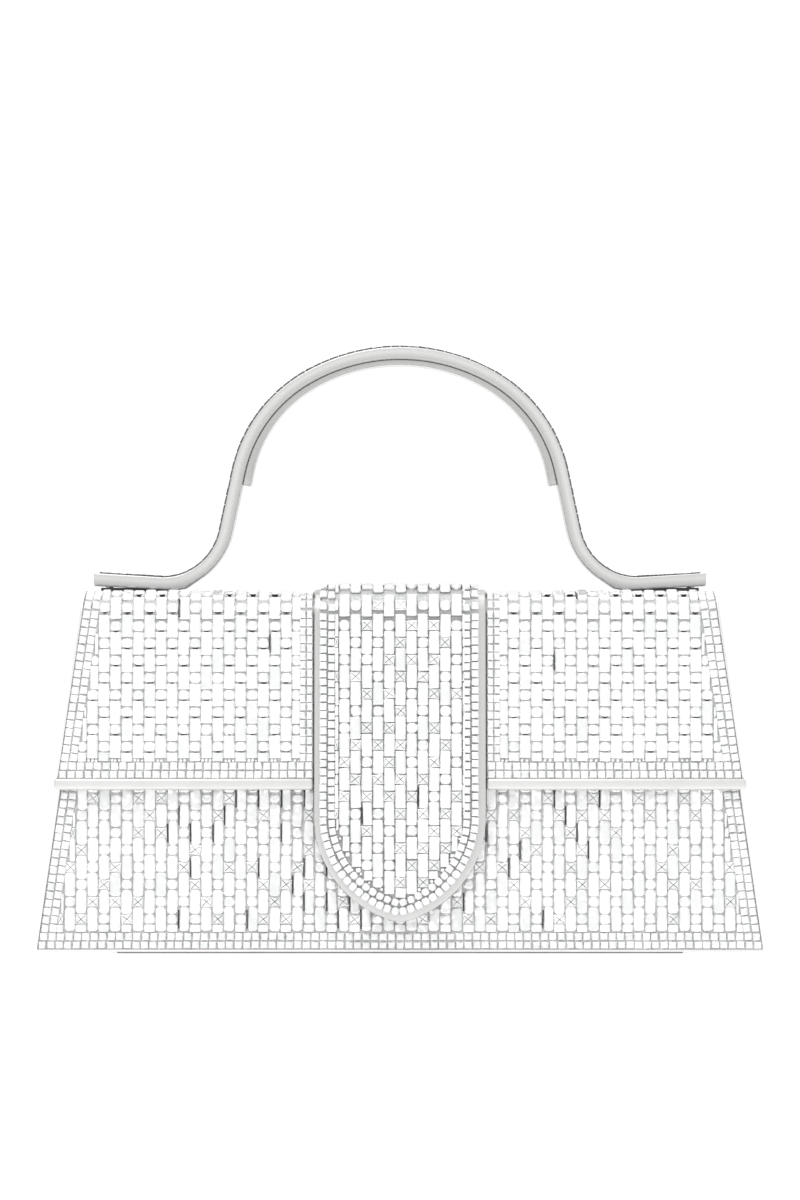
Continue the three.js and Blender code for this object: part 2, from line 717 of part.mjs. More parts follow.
// Steel plates under the top board, and the countersunk screws that hold the handle's feet.
// A screw runs up through its plate, the top board and the wrap into the handle's steel core.
const countersink = (x) => {
  const wide = SCREW_HEAD + HOLE_CLEARANCE;
  return new THREE.CylinderGeometry(screwHole, wide, HANDLE_PLATE + 2 * PAST, 24)
    .rotateX(Math.PI / 2)
    .translate(x, 0, PLATE_Z + HANDLE_PLATE / 2);
};
const screwTop = footTop - (coreBelow - CORE_THICKNESS) - SNAP_SEAM;
for (const [side, sign] of [
  ["right", 1],
  ["left", -1],
]) {
  const ends = PLATE_X.map((x) => sign * x).sort((a, b) => a - b);
  add(
    purse,
    "handle_plate_" + side,
    cut(
      plate(rectangle(...ends, -PLATE_HALF_DEPTH, PLATE_HALF_DEPTH), PLATE_Z, PLATE_Z + HANDLE_PLATE),
      ...SCREW_X.map((x) => countersink(sign * x)),
    ),
    steel,
  );
  SCREW_X.forEach((x, i) => {
    add(
      purse,
      `handle_screw_${side}_${i + 1}`,
      turned(
        [
          [0, PLATE_Z],
          [SCREW_HEAD, PLATE_Z],
          [SCREW_SHANK, PLATE_Z + HANDLE_PLATE],
          [SCREW_SHANK, screwTop],
          [0, screwTop],
        ],
        sign * x,
        0,
      ),
      steel,
    );
  });
}

export default purse;
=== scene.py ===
"""An evening purse covered in cut crystals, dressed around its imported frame.

The purse is a rigid trapezoid box with a two-part flap, a pointed centre tab and an arched
handle. Its walls carry metal mesh set with baguette, round and square stones. Sizes in the
dataclasses are millimetres. Places along a cloth are metres: u across it and s up along it.
"""

import logging
import math
from collections.abc import Callable, Iterable, Iterator, Sequence
from contextlib import contextmanager
from dataclasses import dataclass, field, replace
from enum import Enum

import bpy
import numpy as np
from mathutils import Matrix, Vector


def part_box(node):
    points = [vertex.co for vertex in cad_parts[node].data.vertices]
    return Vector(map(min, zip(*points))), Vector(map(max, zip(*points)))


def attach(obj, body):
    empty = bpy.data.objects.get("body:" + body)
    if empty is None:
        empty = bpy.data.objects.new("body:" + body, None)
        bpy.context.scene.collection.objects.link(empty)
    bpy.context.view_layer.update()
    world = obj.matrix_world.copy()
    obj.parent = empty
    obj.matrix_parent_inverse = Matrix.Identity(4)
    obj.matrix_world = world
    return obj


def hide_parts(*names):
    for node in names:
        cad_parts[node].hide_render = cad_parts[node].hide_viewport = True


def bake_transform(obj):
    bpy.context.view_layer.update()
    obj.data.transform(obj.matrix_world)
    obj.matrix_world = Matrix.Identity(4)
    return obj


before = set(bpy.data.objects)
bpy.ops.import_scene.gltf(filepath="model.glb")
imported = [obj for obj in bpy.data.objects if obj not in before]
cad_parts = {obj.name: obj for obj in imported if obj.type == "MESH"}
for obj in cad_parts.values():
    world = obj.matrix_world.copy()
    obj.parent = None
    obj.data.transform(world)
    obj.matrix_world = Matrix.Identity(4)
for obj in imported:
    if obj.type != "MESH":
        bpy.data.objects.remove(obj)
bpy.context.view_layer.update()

LOG = logging.getLogger("purse")
MM = 0.001
X, Y, Z = Vector((1, 0, 0)), Vector((0, 1, 0)), Vector((0, 0, 1))
TINY = 1e-7  # metres, under which points are one

Point = tuple[float, float]
Limit = Callable[[np.ndarray, np.ndarray], np.ndarray]


# ------------------------------------------------------------------ working with Blender
def deselect() -> None:
    """Leaves edit mode and deselects every object."""
    if bpy.context.mode != "OBJECT":
        bpy.ops.object.mode_set(mode="OBJECT")
    bpy.ops.object.select_all(action="DESELECT")


@contextmanager
def editing(
    item: bpy.types.Object, pick: Callable[[object], bool], parts: str = "polygons"
) -> Iterator[bpy.types.Object]:
    """Opens a mesh in edit mode with some of its faces or edges selected.

    Args:
        item: The mesh object to edit.
        pick: Says of each part whether it starts selected.
        parts: "polygons" or "edges".

    Yields:
        The same object.
    """
    deselect()
    item.select_set(True)
    bpy.context.view_layer.objects.active = item
    chosen = [pick(part) for part in getattr(item.data, parts)]
    bpy.ops.object.mode_set(mode="EDIT")
    bpy.ops.mesh.select_mode(type="FACE" if parts == "polygons" else "EDGE")
    bpy.ops.mesh.select_all(action="DESELECT")
    bpy.ops.object.mode_set(mode="OBJECT")
    getattr(item.data, parts).foreach_set("select", chosen)
    bpy.ops.object.mode_set(mode="EDIT")
    yield item
    bpy.ops.object.mode_set(mode="OBJECT")


def everything(_: object) -> bool:
    """Picks every part."""
    return True


def upper(face: bpy.types.MeshPolygon) -> bool:
    """Picks faces that look up."""
    return face.normal.z > 0.9


def under(face: bpy.types.MeshPolygon) -> bool:
    """Picks faces that look down."""
    return face.normal.z < -0.9


def modified(item: bpy.types.Object, kind: str, **settings: object) -> bpy.types.Object:
    """Adds a modifier and applies it.

    Args:
        item: The mesh object.
        kind: The modifier's type.
        settings: The modifier's own properties.

    Returns:
        The same object, with its mesh changed.
    """
    deselect()
    item.select_set(True)
    bpy.context.view_layer.objects.active = item
    modifier = item.modifiers.new(kind.title(), kind)
    for name, value in settings.items():
        setattr(modifier, name, value)
    bpy.ops.object.modifier_apply(modifier=modifier.name)
    return item


def soften(item: bpy.types.Object, width: float, segments: int) -> bpy.types.Object:
    """Rounds a mesh's sharp edges.

    Args:
        item: The mesh object.
        width: The rounding, in millimetres.
        segments: The steps in it.

    Returns:
        The same object.
    """
    limit = {"limit_method": "ANGLE", "angle_limit": math.radians(40)}
    return modified(item, "BEVEL", width=width * MM, segments=segments, **limit)


def slice_at(marks: Iterable[float], axis: Vector) -> None:
    """Cuts the whole of the mesh in edit mode across an axis, at each mark in metres."""
    for mark in marks:
        bpy.ops.mesh.select_all(action="SELECT")
        bpy.ops.mesh.bisect(plane_co=axis * mark, plane_no=axis, threshold=TINY)


def block(name: str, low: Vector, high: Vector) -> bpy.types.Object:
    """Adds a cube primitive that fills a box, with its place in its mesh.

    Args:
        name: The object's name.
        low: The box's lowest corner, in metres.
        high: Its highest corner.

    Returns:
        The object.
    """
    deselect()
    bpy.ops.mesh.primitive_cube_add(size=1, location=(low + high) / 2, scale=high - low)
    item = bpy.context.object
    bpy.ops.object.transform_apply(location=True, rotation=True, scale=True)
    item.name = name
    return item


# ------------------------------------------------------------------ colour and materials
def linear(colour: str) -> tuple[float, float, float, float]:
    """Turns an sRGB colour to a linear one.

    Args:
        colour: A hex colour such as "#d2d1cf".

    Returns:
        Linear red, green, blue and alpha.
    """
    parts = [int(colour[i : i + 2], 16) / 255 for i in (1, 3, 5)]
    rgb = [c / 12.92 if c <= 0.04045 else ((c + 0.055) / 1.055) ** 2.4 for c in parts]
    return (*rgb, 1.0)


def add_node(
    tree: bpy.types.NodeTree, kind: str, inputs: dict | None = None, **settings: object
) -> bpy.types.Node:
    """Adds a node with its settings and its links.

    Args:
        tree: The node tree.
        kind: The node's type.
        inputs: Socket name or number to a value, or to an output socket that feeds it.
        settings: The node's own properties.

    Returns:
        The new node.
    """
    node = tree.nodes.new(kind)
    for name, value in settings.items():
        setattr(node, name, value)
    for key, value in (inputs or {}).items():
        if isinstance(value, bpy.types.NodeSocket):
            tree.links.new(value, node.inputs[key])
        else:
            node.inputs[key].default_value = value
    return node


def per_mm(size: float) -> float:
    """Texture scale for a pattern whose real size is given in millimetres."""
    return 1.0 / (size * MM)


@dataclass(frozen=True)
class Grain:
    """A texture in a surface: the node that draws it, the real size of its features, and more."""

    kind: str
    size: float
    inputs: tuple[tuple[str, float], ...] = ()
    settings: tuple[tuple[str, str], ...] = ()
    output: int = 0

    def draw(
        self, tree: bpy.types.NodeTree, place: bpy.types.NodeSocket
    ) -> bpy.types.NodeSocket:
        """Draws the texture.

        Args:
            tree: The material's nodes.
            place: The coordinates that it is drawn on.

        Returns:
            Its height, from 0 to 1.
        """
        inputs = {"Vector": place, "Scale": per_mm(self.size), **dict(self.inputs)}
        return add_node(tree, self.kind, inputs, **dict(self.settings)).outputs[self.output]


@dataclass(frozen=True)
class Finish:
    """A surface: its name, its colours, how it shines and the grain in it."""

    name: str
    slot: str
    colour: str
    roughness: float
    sockets: tuple[tuple[str, object], ...] = ()  # the shader's other numbers
    other: str = ""  # the colour where the clouds are thin, or the grain low
    grain: Grain | None = None
    relief: Point = (0.0, 0.05)  # strength and depth in mm; a negative strength sinks the grain
    clouds: Grain | None = None
    swing: float = 0.0  # how far the roughness goes up with the clouds

    def material(self) -> bpy.types.Material:
        """Makes this finish's material on first use.

        Returns:
            The material.
        """
        found = bpy.data.materials.get(self.name)
        if found:
            return found
        made = bpy.data.materials.new(self.name)
        made.use_nodes = True
        tree = made.node_tree
        tree.nodes.clear()
        shader = add_node(tree, "ShaderNodeBsdfPrincipled", dict(self.sockets))
        output = add_node(tree, "ShaderNodeOutputMaterial", {"Surface": shader.outputs["BSDF"]})
        output.is_active_output = True
        shader.inputs["Base Color"].default_value = linear(self.colour)
        shader.inputs["Roughness"].default_value = self.roughness
        self.paint(tree, shader, add_node(tree, "ShaderNodeTexCoord").outputs["Object"])
        return made

    def paint(
        self, tree: bpy.types.NodeTree, shader: bpy.types.Node, place: bpy.types.NodeSocket
    ) -> None:
        """Lets the clouds move the colour and the roughness, and the grain stand out.

        Args:
            tree: The material's nodes.
            shader: Its shader.
            place: The coordinates that patterns are drawn on.
        """
        height = self.grain.draw(tree, place)
        share = self.clouds.draw(tree, place) if self.clouds else height
        if self.other:
            colours = {0: share, 6: linear(self.other), 7: linear(self.colour)}
            mixed = add_node(tree, "ShaderNodeMix", colours, data_type="RGBA")
            tree.links.new(mixed.outputs[2], shader.inputs["Base Color"])
        if self.swing:
            ends = {"To Min": self.roughness - self.swing, "To Max": self.roughness + self.swing}
            rough = add_node(tree, "ShaderNodeMapRange", {"Value": share, **ends})
            tree.links.new(rough.outputs["Result"], shader.inputs["Roughness"])
        strength, depth = self.relief
        if strength:
            inputs = {"Height": height, "Strength": abs(strength), "Distance": depth * MM}
            bump = add_node(tree, "ShaderNodeBump", inputs, invert=strength < 0)
            tree.links.new(bump.outputs[0], shader.inputs["Normal"])


@dataclass(frozen=True)
class FoiledCrystal(Finish):
    """Machine-cut glass over a mirror foil: a hard clear gloss over broken bright facets."""

    facet: float = 1.3  # mm, one back facet
    scatter: float = 0.30

    def paint(
        self, tree: bpy.types.NodeTree, shader: bpy.types.Node, place: bpy.types.NodeSocket
    ) -> None:
        """Turns the normal with the foil's facets, while the coat above them stays flat.

        Args:
            tree: The material's nodes.
            shader: Its shader.
            place: The coordinates that the facets are drawn on.
        """
        tone = add_node(tree, "ShaderNodeAttribute", attribute_name="stone_tone")
        colours = {0: tone.outputs["Fac"], 6: linear(self.other), 7: linear(self.colour)}
        mixed = add_node(tree, "ShaderNodeMix", colours, data_type="RGBA")
        tree.links.new(mixed.outputs[2], shader.inputs["Base Color"])
        facets = {"Vector": place, "Scale": per_mm(self.facet)}
        lean = add_node(tree, "ShaderNodeTexVoronoi", facets).outputs["Color"]
        normal = add_node(tree, "ShaderNodeNewGeometry").outputs["Normal"]
        for operation, inputs in (
            ("SUBTRACT", {1: (0.5, 0.5, 0.5)}),
            ("SCALE", {"Scale": self.scatter}),
            ("ADD", {1: normal}),
            ("NORMALIZE", {}),
        ):
            inputs = {0: lean, **inputs}
            lean = add_node(tree, "ShaderNodeVectorMath", inputs, operation=operation).outputs[0]
        tree.links.new(lean, shader.inputs["Normal"])


@dataclass(frozen=True)
class RimShadedLeather(Finish):
    """The handle's foiled leather, with a painted highlight along its outer rim and painted shade
    towards its lower edge.
    """

    stops: tuple[tuple[float, str], ...] = ()  # shares of its height, and the painted shade and highlight colours there
    strength: float = 0.72

    def paint(
        self, tree: bpy.types.NodeTree, shader: bpy.types.Node, place: bpy.types.NodeSocket
    ) -> None:
        """Lays the painted rim highlight and shade over the leather's own colour.

        Args:
            tree: The material's nodes.
            shader: Its shader.
            place: The coordinates that patterns are drawn on.
        """
        super().paint(tree, shader, place)
        rim = add_node(tree, "ShaderNodeAttribute", attribute_name="rim_height")
        ramp = add_node(tree, "ShaderNodeValToRGB", {0: rim.outputs["Fac"]})
        line = ramp.color_ramp
        while len(line.elements) < len(self.stops):
            line.elements.new(0.5)
        for element, (share, colour) in zip(line.elements, self.stops):
            element.position = share
            element.color = linear(colour)
        leather = shader.inputs["Base Color"].links[0].from_socket
        colours = {0: self.strength, 6: leather, 7: ramp.outputs[0]}
        mixed = add_node(tree, "ShaderNodeMix", colours, data_type="RGBA")
        tree.links.new(mixed.outputs[2], shader.inputs["Base Color"])


NOISE, CELLS, WAVE = "ShaderNodeTexNoise", "ShaderNodeTexVoronoi", "ShaderNodeTexWave"

CRYSTAL = FoiledCrystal(
    name="foiled_crystal",
    slot="crystal",
    colour="#f3f3f3",
    other="#e2e3e3",
    roughness=0.16,
    sockets=(
        ("Metallic", 0.45),
        ("Coat Weight", 1.0),
        ("Coat Roughness", 0.03),
        ("Coat IOR", 1.55),
    ),
)

# Nickel plate over brass: an even satin shine, with faint rub marks where it is handled.
NICKEL = Finish(
    name="nickel_plate",
    slot="steel",
    colour="#b9babc",
    roughness=0.24,
    sockets=(("Metallic", 1.0),),
    grain=Grain(NOISE, 0.5, (("Detail", 4.0),)),
    relief=(0.04, 0.05),
    swing=0.08,
)
# The cups' rhodium is the whitest plate. The near-black gap metal is painted shade in the gaps
# between stones.
CUP_METAL = replace(NICKEL, name="rhodium_cup", colour="#d6d6d7", roughness=0.3)
GAP_SHADE_METAL = replace(NICKEL, name="painted_gap_shade", colour="#3a3a3c", roughness=0.5)
CHANNEL_METAL = replace(NICKEL, name="darkened_channel", colour="#5f6062", roughness=0.35)

# The metal mesh behind the stones, its grey partly its own and partly painted shade for the
# joints: small dull rings that stand out.
MESH_BACK = Finish(
    name="mesh_grey_and_painted_gap_shade",
    slot="crystal",
    colour="#a9aaab",
    other="#cfcfcf",
    roughness=0.5,
    sockets=(("Metallic", 0.5),),
    grain=Grain(CELLS, 1.0, (("Randomness", 0.35),)),
    relief=(0.6, 0.2),
)

# Goat leather with a silver foil pressed on it: a soft metal sheen over fine sunken grain, and
# a slow cloudiness where the foil has been rubbed.
LEATHER = Finish(
    name="foiled_leather",
    slot="silver_leather",
    colour="#e6e6e5",
    other="#d6d6d4",
    roughness=0.34,
    sockets=(("Metallic", 0.65), ("Coat Weight", 0.25), ("Coat Roughness", 0.2)),
    grain=Grain(CELLS, 0.45),
    relief=(-0.12, 0.08),
    clouds=Grain(NOISE, 9.0, (("Detail", 5.0),)),
    swing=-0.06,
)
BRIGHT = (("Metallic", 0.8), ("Coat Weight", 0.25), ("Coat Roughness", 0.2))
TAB_LEATHER = replace(
    LEATHER, name="satin_foiled_leather", colour="#cccccb", other="#c2c2c1", sockets=BRIGHT
)
BINDING_LEATHER = replace(
    LEATHER, name="creased_foiled_leather", colour="#dcdcda", other="#c9c9c7"
)
# The sole pad's dark leather is painted shade, for the shadow under the purse's base.
SHADED_SOLE_LEATHER = replace(LEATHER, name="sole_leather_painted_shade", colour="#8b8b89", other="#6c6c6a")
# The handle's leather carries painted light: a ramp up its height gives painted shade low down and
# a painted highlight near the outer rim.
HANDLE_LEATHER = RimShadedLeather(
    name="foiled_leather_painted_rim_light",
    slot="silver_leather",
    colour="#c8c8c7",
    other="#bbbbba",
    roughness=0.34,
    sockets=BRIGHT,
    grain=Grain(CELLS, 0.6),
    relief=(-0.015, 0.08),
    clouds=LEATHER.clouds,
    swing=LEATHER.swing,
    stops=((0.0, "#989897"), (0.35, "#bbbbba"), (0.62, "#d2d2d1"), (0.85, "#c8c8c7")),
)

# Woven satin: long floating threads give a soft sheen that runs one way. The threads are drawn
# at 0.5 mm, coarser than the real 0.15 mm, so that they show. A wave's bands are 20 to a unit.
SATIN = Finish(
    name="satin_weave",
    slot="satin_lining",
    colour="#bdb9b4",
    other="#a9a5a0",
    roughness=0.48,
    sockets=(("Sheen Weight", 0.5), ("Sheen Roughness", 0.35)),
    grain=Grain(
        WAVE, 0.5 * 20, (("Distortion", 0.6), ("Detail", 2.0)), (("bands_direction", "Z"),), 1
    ),
    relief=(0.15, 0.05),
    clouds=Grain(NOISE, 14.0, (("Detail", 3.0),)),
)
# Near-black cloth for the pads under the handle's feet: painted shadow between each foot and the
# stones.
FOOT_SHADOW_CLOTH = replace(SATIN, name="painted_foot_shadow", colour="#2b2b2d", other="#1a1a1b")

# Bag-maker's stiffener: pressed grey fibre board, dull and flecked with short fibres.
BOARD = Finish(
    name="pressed_board",
    slot="board",
    colour="#b9b7b3",
    other="#9c9a96",
    roughness=0.8,
    grain=Grain(NOISE, 1.2, (("Detail", 6.0),)),
    relief=(0.2, 0.1),
)

# The table's opal acrylic, lit from below so that shadows on it stay pale, with a faint tooth.
TABLE = Finish(
    name="lit_opal_acrylic",
    slot="",
    colour="#d4d4d4",
    other="#cfcfcf",
    roughness=0.6,
    sockets=(("Emission Color", (1.0, 1.0, 1.0, 1.0)), ("Emission Strength", 0.62)),
    grain=Grain(NOISE, 2.0, (("Detail", 2.0),)),
)


def dress(item: bpy.types.Object, *finishes: Finish) -> None:
    """Gives a mesh its materials, one slot for each finish.

    Args:
        item: The mesh object, whose faces keep their slot numbers.
        finishes: The finishes, in the order of the slots.
    """
    slots = [0] * len(item.data.polygons)
    item.data.polygons.foreach_get("material_index", slots)
    item.data.materials.clear()
    for finish in finishes:
        item.data.materials.append(finish.material())
    item.data.polygons.foreach_set("material_index", [min(s, len(finishes) - 1) for s in slots])


# ------------------------------------------------------------------ lines and cloth
@dataclass(frozen=True)
class Leg:
    """One straight or round stretch of a route. Metres and radians."""

    begin: float
    length: float
    start: Point
    heading: float
    bend: float

    def at(self, along: float) -> tuple[Point, float]:
        """Follows the leg.

        Args:
            along: The distance from its start.

        Returns:
            The point and the heading there.
        """
        x, y = self.start
        if abs(self.bend) < TINY:
            return (
                x + along * math.cos(self.heading),
                y + along * math.sin(self.heading),
            ), self.heading
        later = self.heading + along * self.bend
        dx = (math.sin(later) - math.sin(self.heading)) / self.bend
        dy = (math.cos(self.heading) - math.cos(later)) / self.bend
        return (x + dx, y + dy), later


@dataclass
class Route:
    """A line in a plane, drawn as with a pen that goes ahead and turns. Metres and radians."""

    start: Point
    heading: float
    legs: list[Leg] = field(default_factory=list)
    length: float = 0.0

    def go(self, length: float, bend: float) -> "Route":
        """Adds a leg where the pen is.

        Args:
            length: The leg's length.
            bend: How fast it turns to the left, in radians for each metre.

        Returns:
            The same route.
        """
        point, heading = self.start, self.heading
        if self.legs:
            point, heading = self.legs[-1].at(self.legs[-1].length)
        self.legs.append(Leg(self.length, length, point, heading, bend))
        self.length += length
        return self

    def ahead(self, length: float) -> "Route":
        """Goes straight on."""
        return self.go(length, 0.0)

    def turn(self, radius: float, degrees: float) -> "Route":
        """Goes round an arc, to the left for a positive angle."""
        return self.go(radius * math.radians(abs(degrees)), math.copysign(1 / radius, degrees))

    def at(self, distance: float) -> tuple[Point, float]:
        """Follows the route.

        Args:
            distance: The distance from its start, which may be past its ends.

        Returns:
            The point and the heading there.
        """
        begun = [leg for leg in self.legs if leg.begin <= distance] or self.legs[:1]
        return begun[-1].at(distance - begun[-1].begin)

    def stations(self, low: float, high: float, step: float) -> list[float]:
        """Finds the distances at which a sheet needs a line to follow the route.

        Args:
            low: Where the sheet starts.
            high: Where it ends.
            step: The spacing along arcs.

        Returns:
            The ends of legs and the steps along arcs, in order.
        """
        marks = {low, high}
        for leg in self.legs:
            count = max(2, round(leg.length / step)) if abs(leg.bend) > TINY else 1
            marks.update(leg.begin + leg.length * i / count for i in range(count + 1))
        return sorted(m for m in marks if low - TINY <= m <= high + TINY)


@dataclass(frozen=True)
class Drape:
    """A surface made by moving a route sideways: u runs across it, s along it, w out of it."""

    route: Route
    depth: Vector

    @property
    def across(self) -> Vector:
        """The direction in which u runs."""
        return self.depth.cross(Z)

    def point(self, u: float, s: float, w: float = 0.0) -> Vector:
        """Finds a point on or over the surface.

        Args:
            u: Its place across.
            s: Its place along.
            w: How far out it is.

        Returns:
            The point.
        """
        (x, z), heading = self.route.at(s)
        out = Z * math.cos(heading) - self.depth * math.sin(heading)
        return self.across * u + self.depth * x + Z * z + out * w


@dataclass(frozen=True)
class Region:
    """A convex patch of cloth: how far a point is inside it is the least of its limits."""

    limits: tuple[Limit, ...]
    low: Point
    high: Point

    def clearance(self, u: np.ndarray, s: np.ndarray) -> np.ndarray:
        """Tells how far inside the patch points are, negative outside."""
        return np.min([limit(u, s) for limit in self.limits], axis=0)

    @property
    def reach(self) -> float:
        """The largest distance across from the middle."""
        return max(abs(self.low[0]), abs(self.high[0]))


def hole(centre: Point, radius: float) -> Limit:
    """Makes a limit to the outside of a circle."""
    return lambda u, s: np.hypot(u - centre[0], s - centre[1]) - radius


def half_plane(a: Point, b: Point, inset: float) -> Limit:
    """Makes a limit to the left of a line.

    Args:
        a: A point on the line.
        b: A later point on it.
        inset: How far the limit is moved inwards.

    Returns:
        The limit.
    """
    du, ds = b[0] - a[0], b[1] - a[1]
    size = math.hypot(du, ds)
    return lambda u, s: ((s - a[1]) * du - (u - a[0]) * ds) / size - inset


def polygon(corners: Sequence[Point], insets: Sequence[float]) -> Region:
    """Makes a convex patch.

    Args:
        corners: Its corners in anticlockwise order.
        insets: How far each side is moved inwards.

    Returns:
        The patch.
    """
    ends = [*corners[1:], corners[0]]
    sides = tuple(half_plane(a, b, inset) for a, b, inset in zip(corners, ends, insets))
    us, ss = zip(*corners)
    return Region(sides, (min(us), min(ss) + insets[0]), (max(us), max(ss)))


def rectangle(left: float, right: float, low: float, high: float) -> list[Point]:
    """Lists a rectangle's corners anticlockwise from the lower left."""
    return [(left, low), (right, low), (right, high), (left, high)]


def mirrored(corners: Sequence[Point], sign: int) -> list[Point]:
    """Puts a right-hand outline on either side, still anticlockwise."""
    return list(corners) if sign > 0 else [(-u, s) for u, s in reversed(corners)]


SIDES = (("right", 1), ("left", -1))


# ------------------------------------------------------------------ stones
class Cut(Enum):
    """The cuts of stone that the purse carries."""

    BAGUETTE = "baguette"
    BARREL = "barrel"
    ROUND = "round"
    SQUARE = "square"
    PYRAMID = "pyramid"
    CHANNEL = "channel"
    SLIVER = "sliver"
    CRESCENT = "crescent"


@dataclass(frozen=True)
class StonePlan:
    """How one stone is cut. Each step is a rise and an inset of the crown, in millimetres."""

    width: float
    length: float
    cup: float
    steps: tuple[Point, ...]
    corner: float = 0.0
    cross: float = 0.0  # half the width of the cross cut into the crown
    cross_rise: float = 0.45
    gap: bool = False  # a dark piece that paints the shade in a gap between stones, rather than a stone

    def model(self, name: str) -> tuple[np.ndarray, list[tuple[int, ...]], list[int]]:
        """Models the stone on its metal cup, standing on z = 0.

        Args:
            name: A name for the working mesh.

        Returns:
            Its points in metres, its faces, and for each face 0 for glass, 1 for metal or 2 for a
            dark piece that paints the shade in a gap.
        """
        half = Vector((self.width, self.length, self.cup)) * MM / 2
        stone = block(name, -half, half)
        if self.corner:
            with editing(stone, lambda edge: self.upright(stone, edge), "edges"):
                bpy.ops.mesh.bevel(offset=self.corner * MM, segments=2, affect="EDGES")
        half_width, half_length = self.width / 2, self.length / 2
        with editing(stone, upper):
            for rise, inset in self.steps:
                bpy.ops.mesh.extrude_region_move(
                    TRANSFORM_OT_translate={"value": (0, 0, rise * MM)}
                )
                factors = ((half_width - inset) / half_width, (half_length - inset) / half_length)
                bpy.ops.transform.resize(value=(*factors, 1), center_override=(0, 0, 0))
                half_width -= inset
                half_length -= inset
            if self.cross:
                bpy.ops.mesh.poke()
                bpy.ops.mesh.inset(thickness=self.cross * MM, use_individual=True)
                bpy.ops.transform.translate(value=(0, 0, self.cross_rise * MM))
        points = np.array([v.co for v in stone.data.vertices])
        foot = points[:, 2].min()
        points[:, 2] -= foot
        faces = [tuple(p.vertices) for p in stone.data.polygons]
        rim = foot + self.cup * MM * 0.999
        parts = [2 if self.gap else int(p.center.z < rim) for p in stone.data.polygons]
        bpy.data.objects.remove(stone)
        return points, faces, parts

    def upright(self, stone: bpy.types.Object, edge: bpy.types.MeshEdge) -> bool:
        """Picks a block's upright edges, which are rounded for a cushion or a round stone."""
        first, second = (stone.data.vertices[i].co.z for i in edge.vertices)
        return abs(first - second) > 0.1 * self.cup * MM


STONES = {
    Cut.BAGUETTE: StonePlan(3.17, 6.84, 0.5, ((0.45, 0.03), (0.4, 0.22), (0.15, 0.24)), 0.42),
    Cut.BARREL: StonePlan(3.17, 7.1, 0.5, ((0.45, 0.03), (0.4, 0.22), (0.15, 0.24)), 0.85),
    Cut.ROUND: StonePlan(3.14, 3.06, 0.5, ((0.4, 0.03), (0.4, 0.3), (0.2, 0.36)), 1.0),
    Cut.SQUARE: StonePlan(2.33, 2.33, 0.5, ((0.45, 0.04), (0.4, 0.24), (0.15, 0.22)), 0.22),
    Cut.PYRAMID: StonePlan(3.08, 2.9, 0.5, ((0.4, 0.05), (0.1, 0.22)), cross=0.1),
    Cut.CHANNEL: StonePlan(2.44, 2.4, 1.3, ((0.08, 0.08), (0.16, 0.5)), 0.2),
    # The sliver and the crescent are dark pieces rather than stones: painted shade in an open slit
    # and painted shadow under a round stone.
    Cut.SLIVER: StonePlan(0.3, 5.4, 0.85, ((0.05, 0.02),), gap=True),
    Cut.CRESCENT: StonePlan(2.2, 2.6, 1.08, ((0.05, 0.02),), 0.85, gap=True),
}


@dataclass(frozen=True)
class Seat:
    """Where one stone sits on a drape, and how much of its plan's width and length it has."""

    cut: Cut
    u: float
    s: float
    spin: float = 0.0
    wide: float = 1.0
    long: float = 1.0

    @property
    def half(self) -> tuple[float, float]:
        """Half the stone's own width and length, in metres."""
        plan = STONES[self.cut]
        return plan.width / 2 * MM * self.wide, plan.length / 2 * MM * self.long


